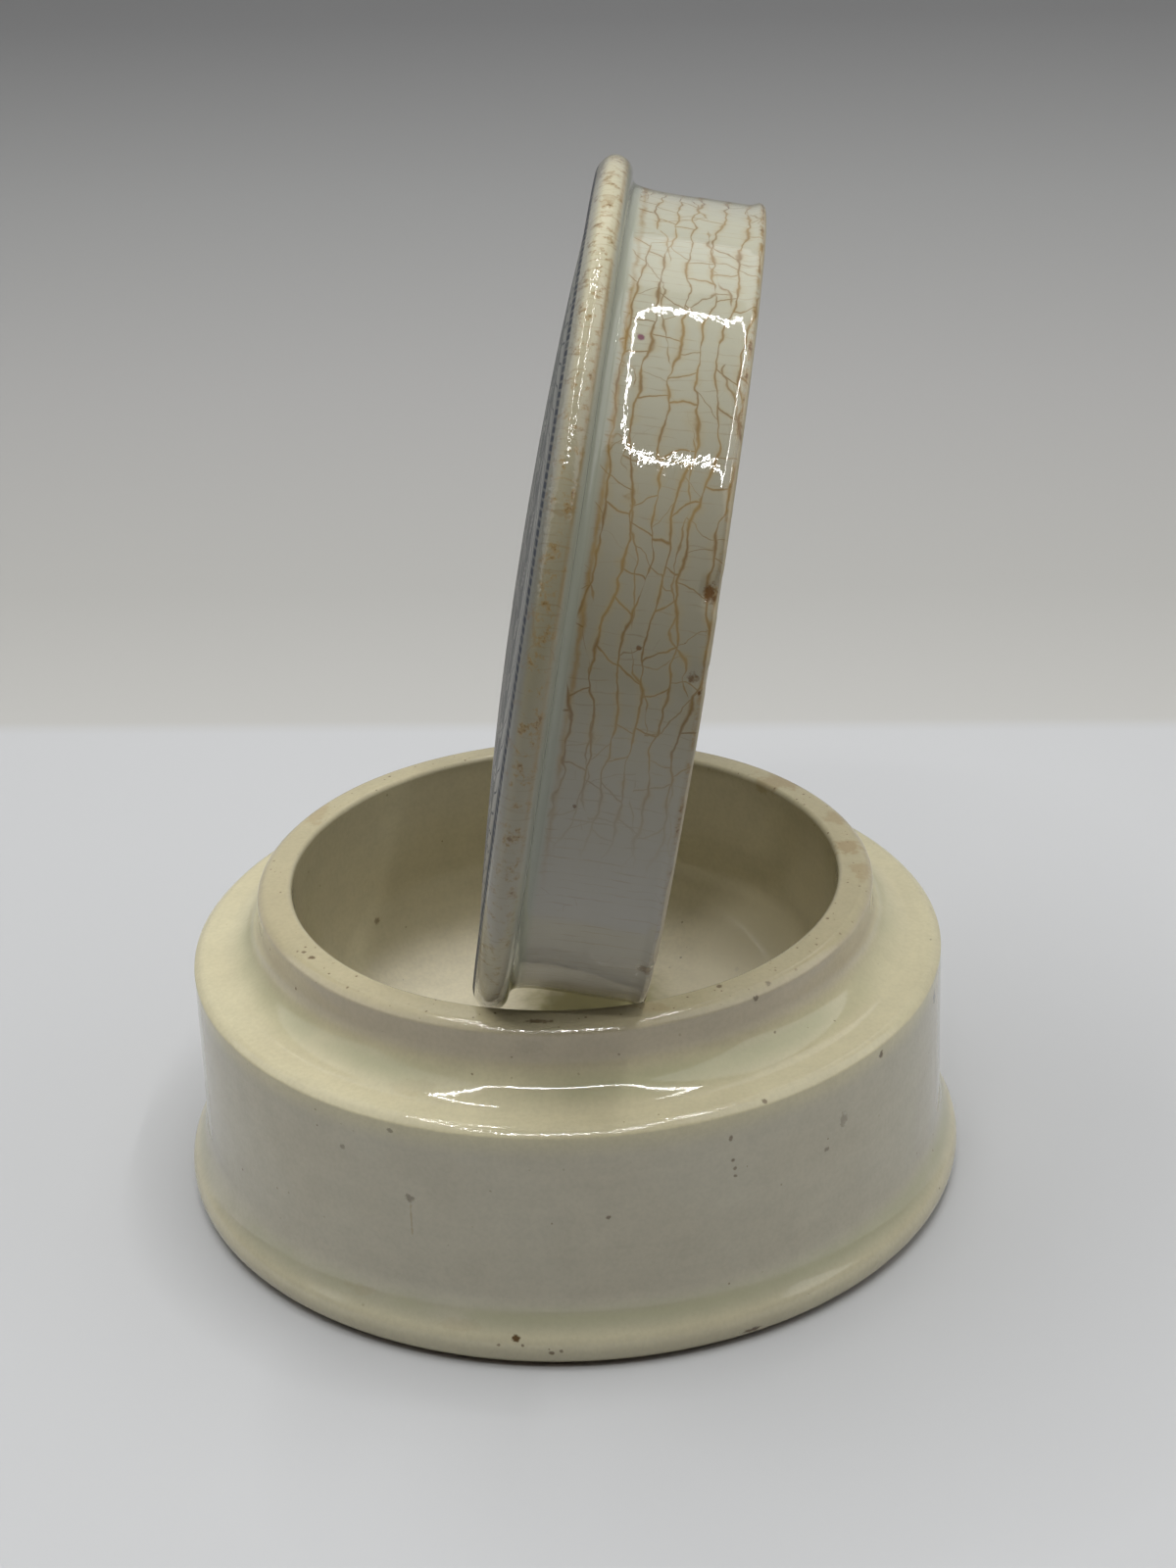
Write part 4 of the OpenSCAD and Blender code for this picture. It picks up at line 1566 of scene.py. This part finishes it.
@dataclass(frozen=True)
class Table:
    """The table top: painted darker with distance behind the object as painted shade, and glowing in the
    room's grey where it is far away.
    """

    # Painted shade: the table's colour darkens with distance behind the object, where the lamps' light falls
    # off.
    shades: tuple[tuple[float, str], ...] = (
        (95, "c3c4c5"), (98, "bab9b5"), (139, "b0afab"), (215, "acaba9"), (316, "a3a3a2"), (440, "919191"))
    radius: float = 4000.0
    # The grey that the far table glows in.
    far_glow: str = "7f7f7f"
    far_m: Point = (0.5, 1.3)
    roughness: float = 0.7
    specular: float = 0.2

    def build(self) -> None:
        """Lay the table top."""
        bpy.ops.object.select_all(action="DESELECT")
        bpy.ops.mesh.primitive_circle_add(vertices=64, radius=self.radius * MM, fill_type="NGON")
        top = bpy.context.object
        top.name = "table_top"
        made = bpy.data.materials.new("table_top")
        made.use_nodes = True
        w = Wiring(made.node_tree)
        place = w.signal("ShaderNodeTexCoord", {}, "Object")
        # Painted glow: far away the table shines the room's grey to camera and mirror rays, though it is no
        # lamp.
        path = w.outputs("ShaderNodeLightPath", {})
        shown = path["Is Camera Ray"] | path["Is Glossy Ray"]
        far = w.mix(shown * w.step(place.length(), *self.far_m), (0.0, 0.0, 0.0, 1.0), self.far_glow)
        shader = made.node_tree.nodes["Principled BSDF"]
        for name, value in (("Base Color", self.ramp(w, w.parts(place)[1])), ("Roughness", self.roughness),
                            ("Specular IOR Level", self.specular), ("Emission Color", far),
                            ("Emission Strength", 1.0)):
            w.feed(shader.inputs[name], value)
        top.data.materials.append(made)

    def ramp(self, w: Wiring, back: Signal) -> Signal:
        """The shades one after the other.

        Args:
            w: The material's wiring.
            back: The distance behind the object's axis, in metres.

        Returns:
            The colour.
        """
        last = self.shades[-1][0]
        made = w.node("ShaderNodeValToRGB", {0: back / (last * MM)})
        first, final = made.color_ramp.elements
        first.position = self.shades[0][0] / last
        first.color = linear(self.shades[0][1])
        final.position = 1.0
        final.color = linear(self.shades[-1][1])
        for at, code in self.shades[1:-1]:
            made.color_ramp.elements.new(at / last).color = linear(code)
        return Signal(w, made.outputs["Color"])


@dataclass(frozen=True)
class Surroundings:
    """The room round the table: pale behind it, and dark in front and overhead."""

    dim: str = "050505"
    behind: str = "9c9d9e"
    shown: str = "7b7b7b"
    back_share: Point = (0.0, 0.9)
    low_share: Point = (0.95, 0.35)

    def build(self) -> None:
        """Make the world."""
        world = bpy.data.worlds.new("room")
        bpy.context.scene.world = world
        world.use_nodes = True
        world.node_tree.nodes.clear()
        w = Wiring(world.node_tree)
        _, back, up = w.parts(w.signal("ShaderNodeTexCoord", {}, "Generated"))
        colour = w.layers(
            self.dim,
            (w.step(back, *self.back_share) * w.step(up, *self.low_share), self.behind),
            (w.signal("ShaderNodeLightPath", {}, "Is Camera Ray"), self.shown))
        lit = w.signal("ShaderNodeBackground", {"Color": colour, "Strength": 1.0})
        w.node("ShaderNodeOutputWorld", {"Surface": lit})


@dataclass(frozen=True)
class Camera:
    """The camera, where the photograph was taken from."""

    stand: Triple = (24.76, -298.86, 191.21)
    turn: Triple = (63.2818, 1.8700, 3.3050)
    lens: float = 81.0
    sensor: float = 36.0
    near: float = 10.0
    far: float = 20000.0

    def build(self) -> None:
        """Set up the camera."""
        made = bpy.data.cameras.new("camera")
        made.lens = self.lens
        made.sensor_width = self.sensor
        made.clip_start = self.near * MM
        made.clip_end = self.far * MM
        camera = bpy.data.objects.new("camera", made)
        camera.location = Vector(self.stand) * MM
        camera.rotation_euler = [math.radians(a) for a in self.turn]
        bpy.context.scene.collection.objects.link(camera)
        bpy.context.scene.camera = camera


def main() -> None:
    """Build the pieces, dress them, and set up the studio."""
    logging.basicConfig(level=logging.INFO, format="%(name)s: %(message)s")
    bpy.context.scene.view_settings.view_transform = "Standard"
    for piece, finish in ((Pot(), CreamGlaze()), (Lid(), CrazedGlaze())):
        mesh = piece.build()
        finish.dress(piece, mesh)
        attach(mesh, piece.node)
        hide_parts(piece.node)
        mesh.data.calc_loop_triangles()
        LOG.info("%s: %d triangles", mesh.name, len(mesh.data.loop_triangles))
    for part in (LightFrame(), *PANELS, Table(), Surroundings(), Camera()):
        part.build()
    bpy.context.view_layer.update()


if __name__ == "__main__":
    main()
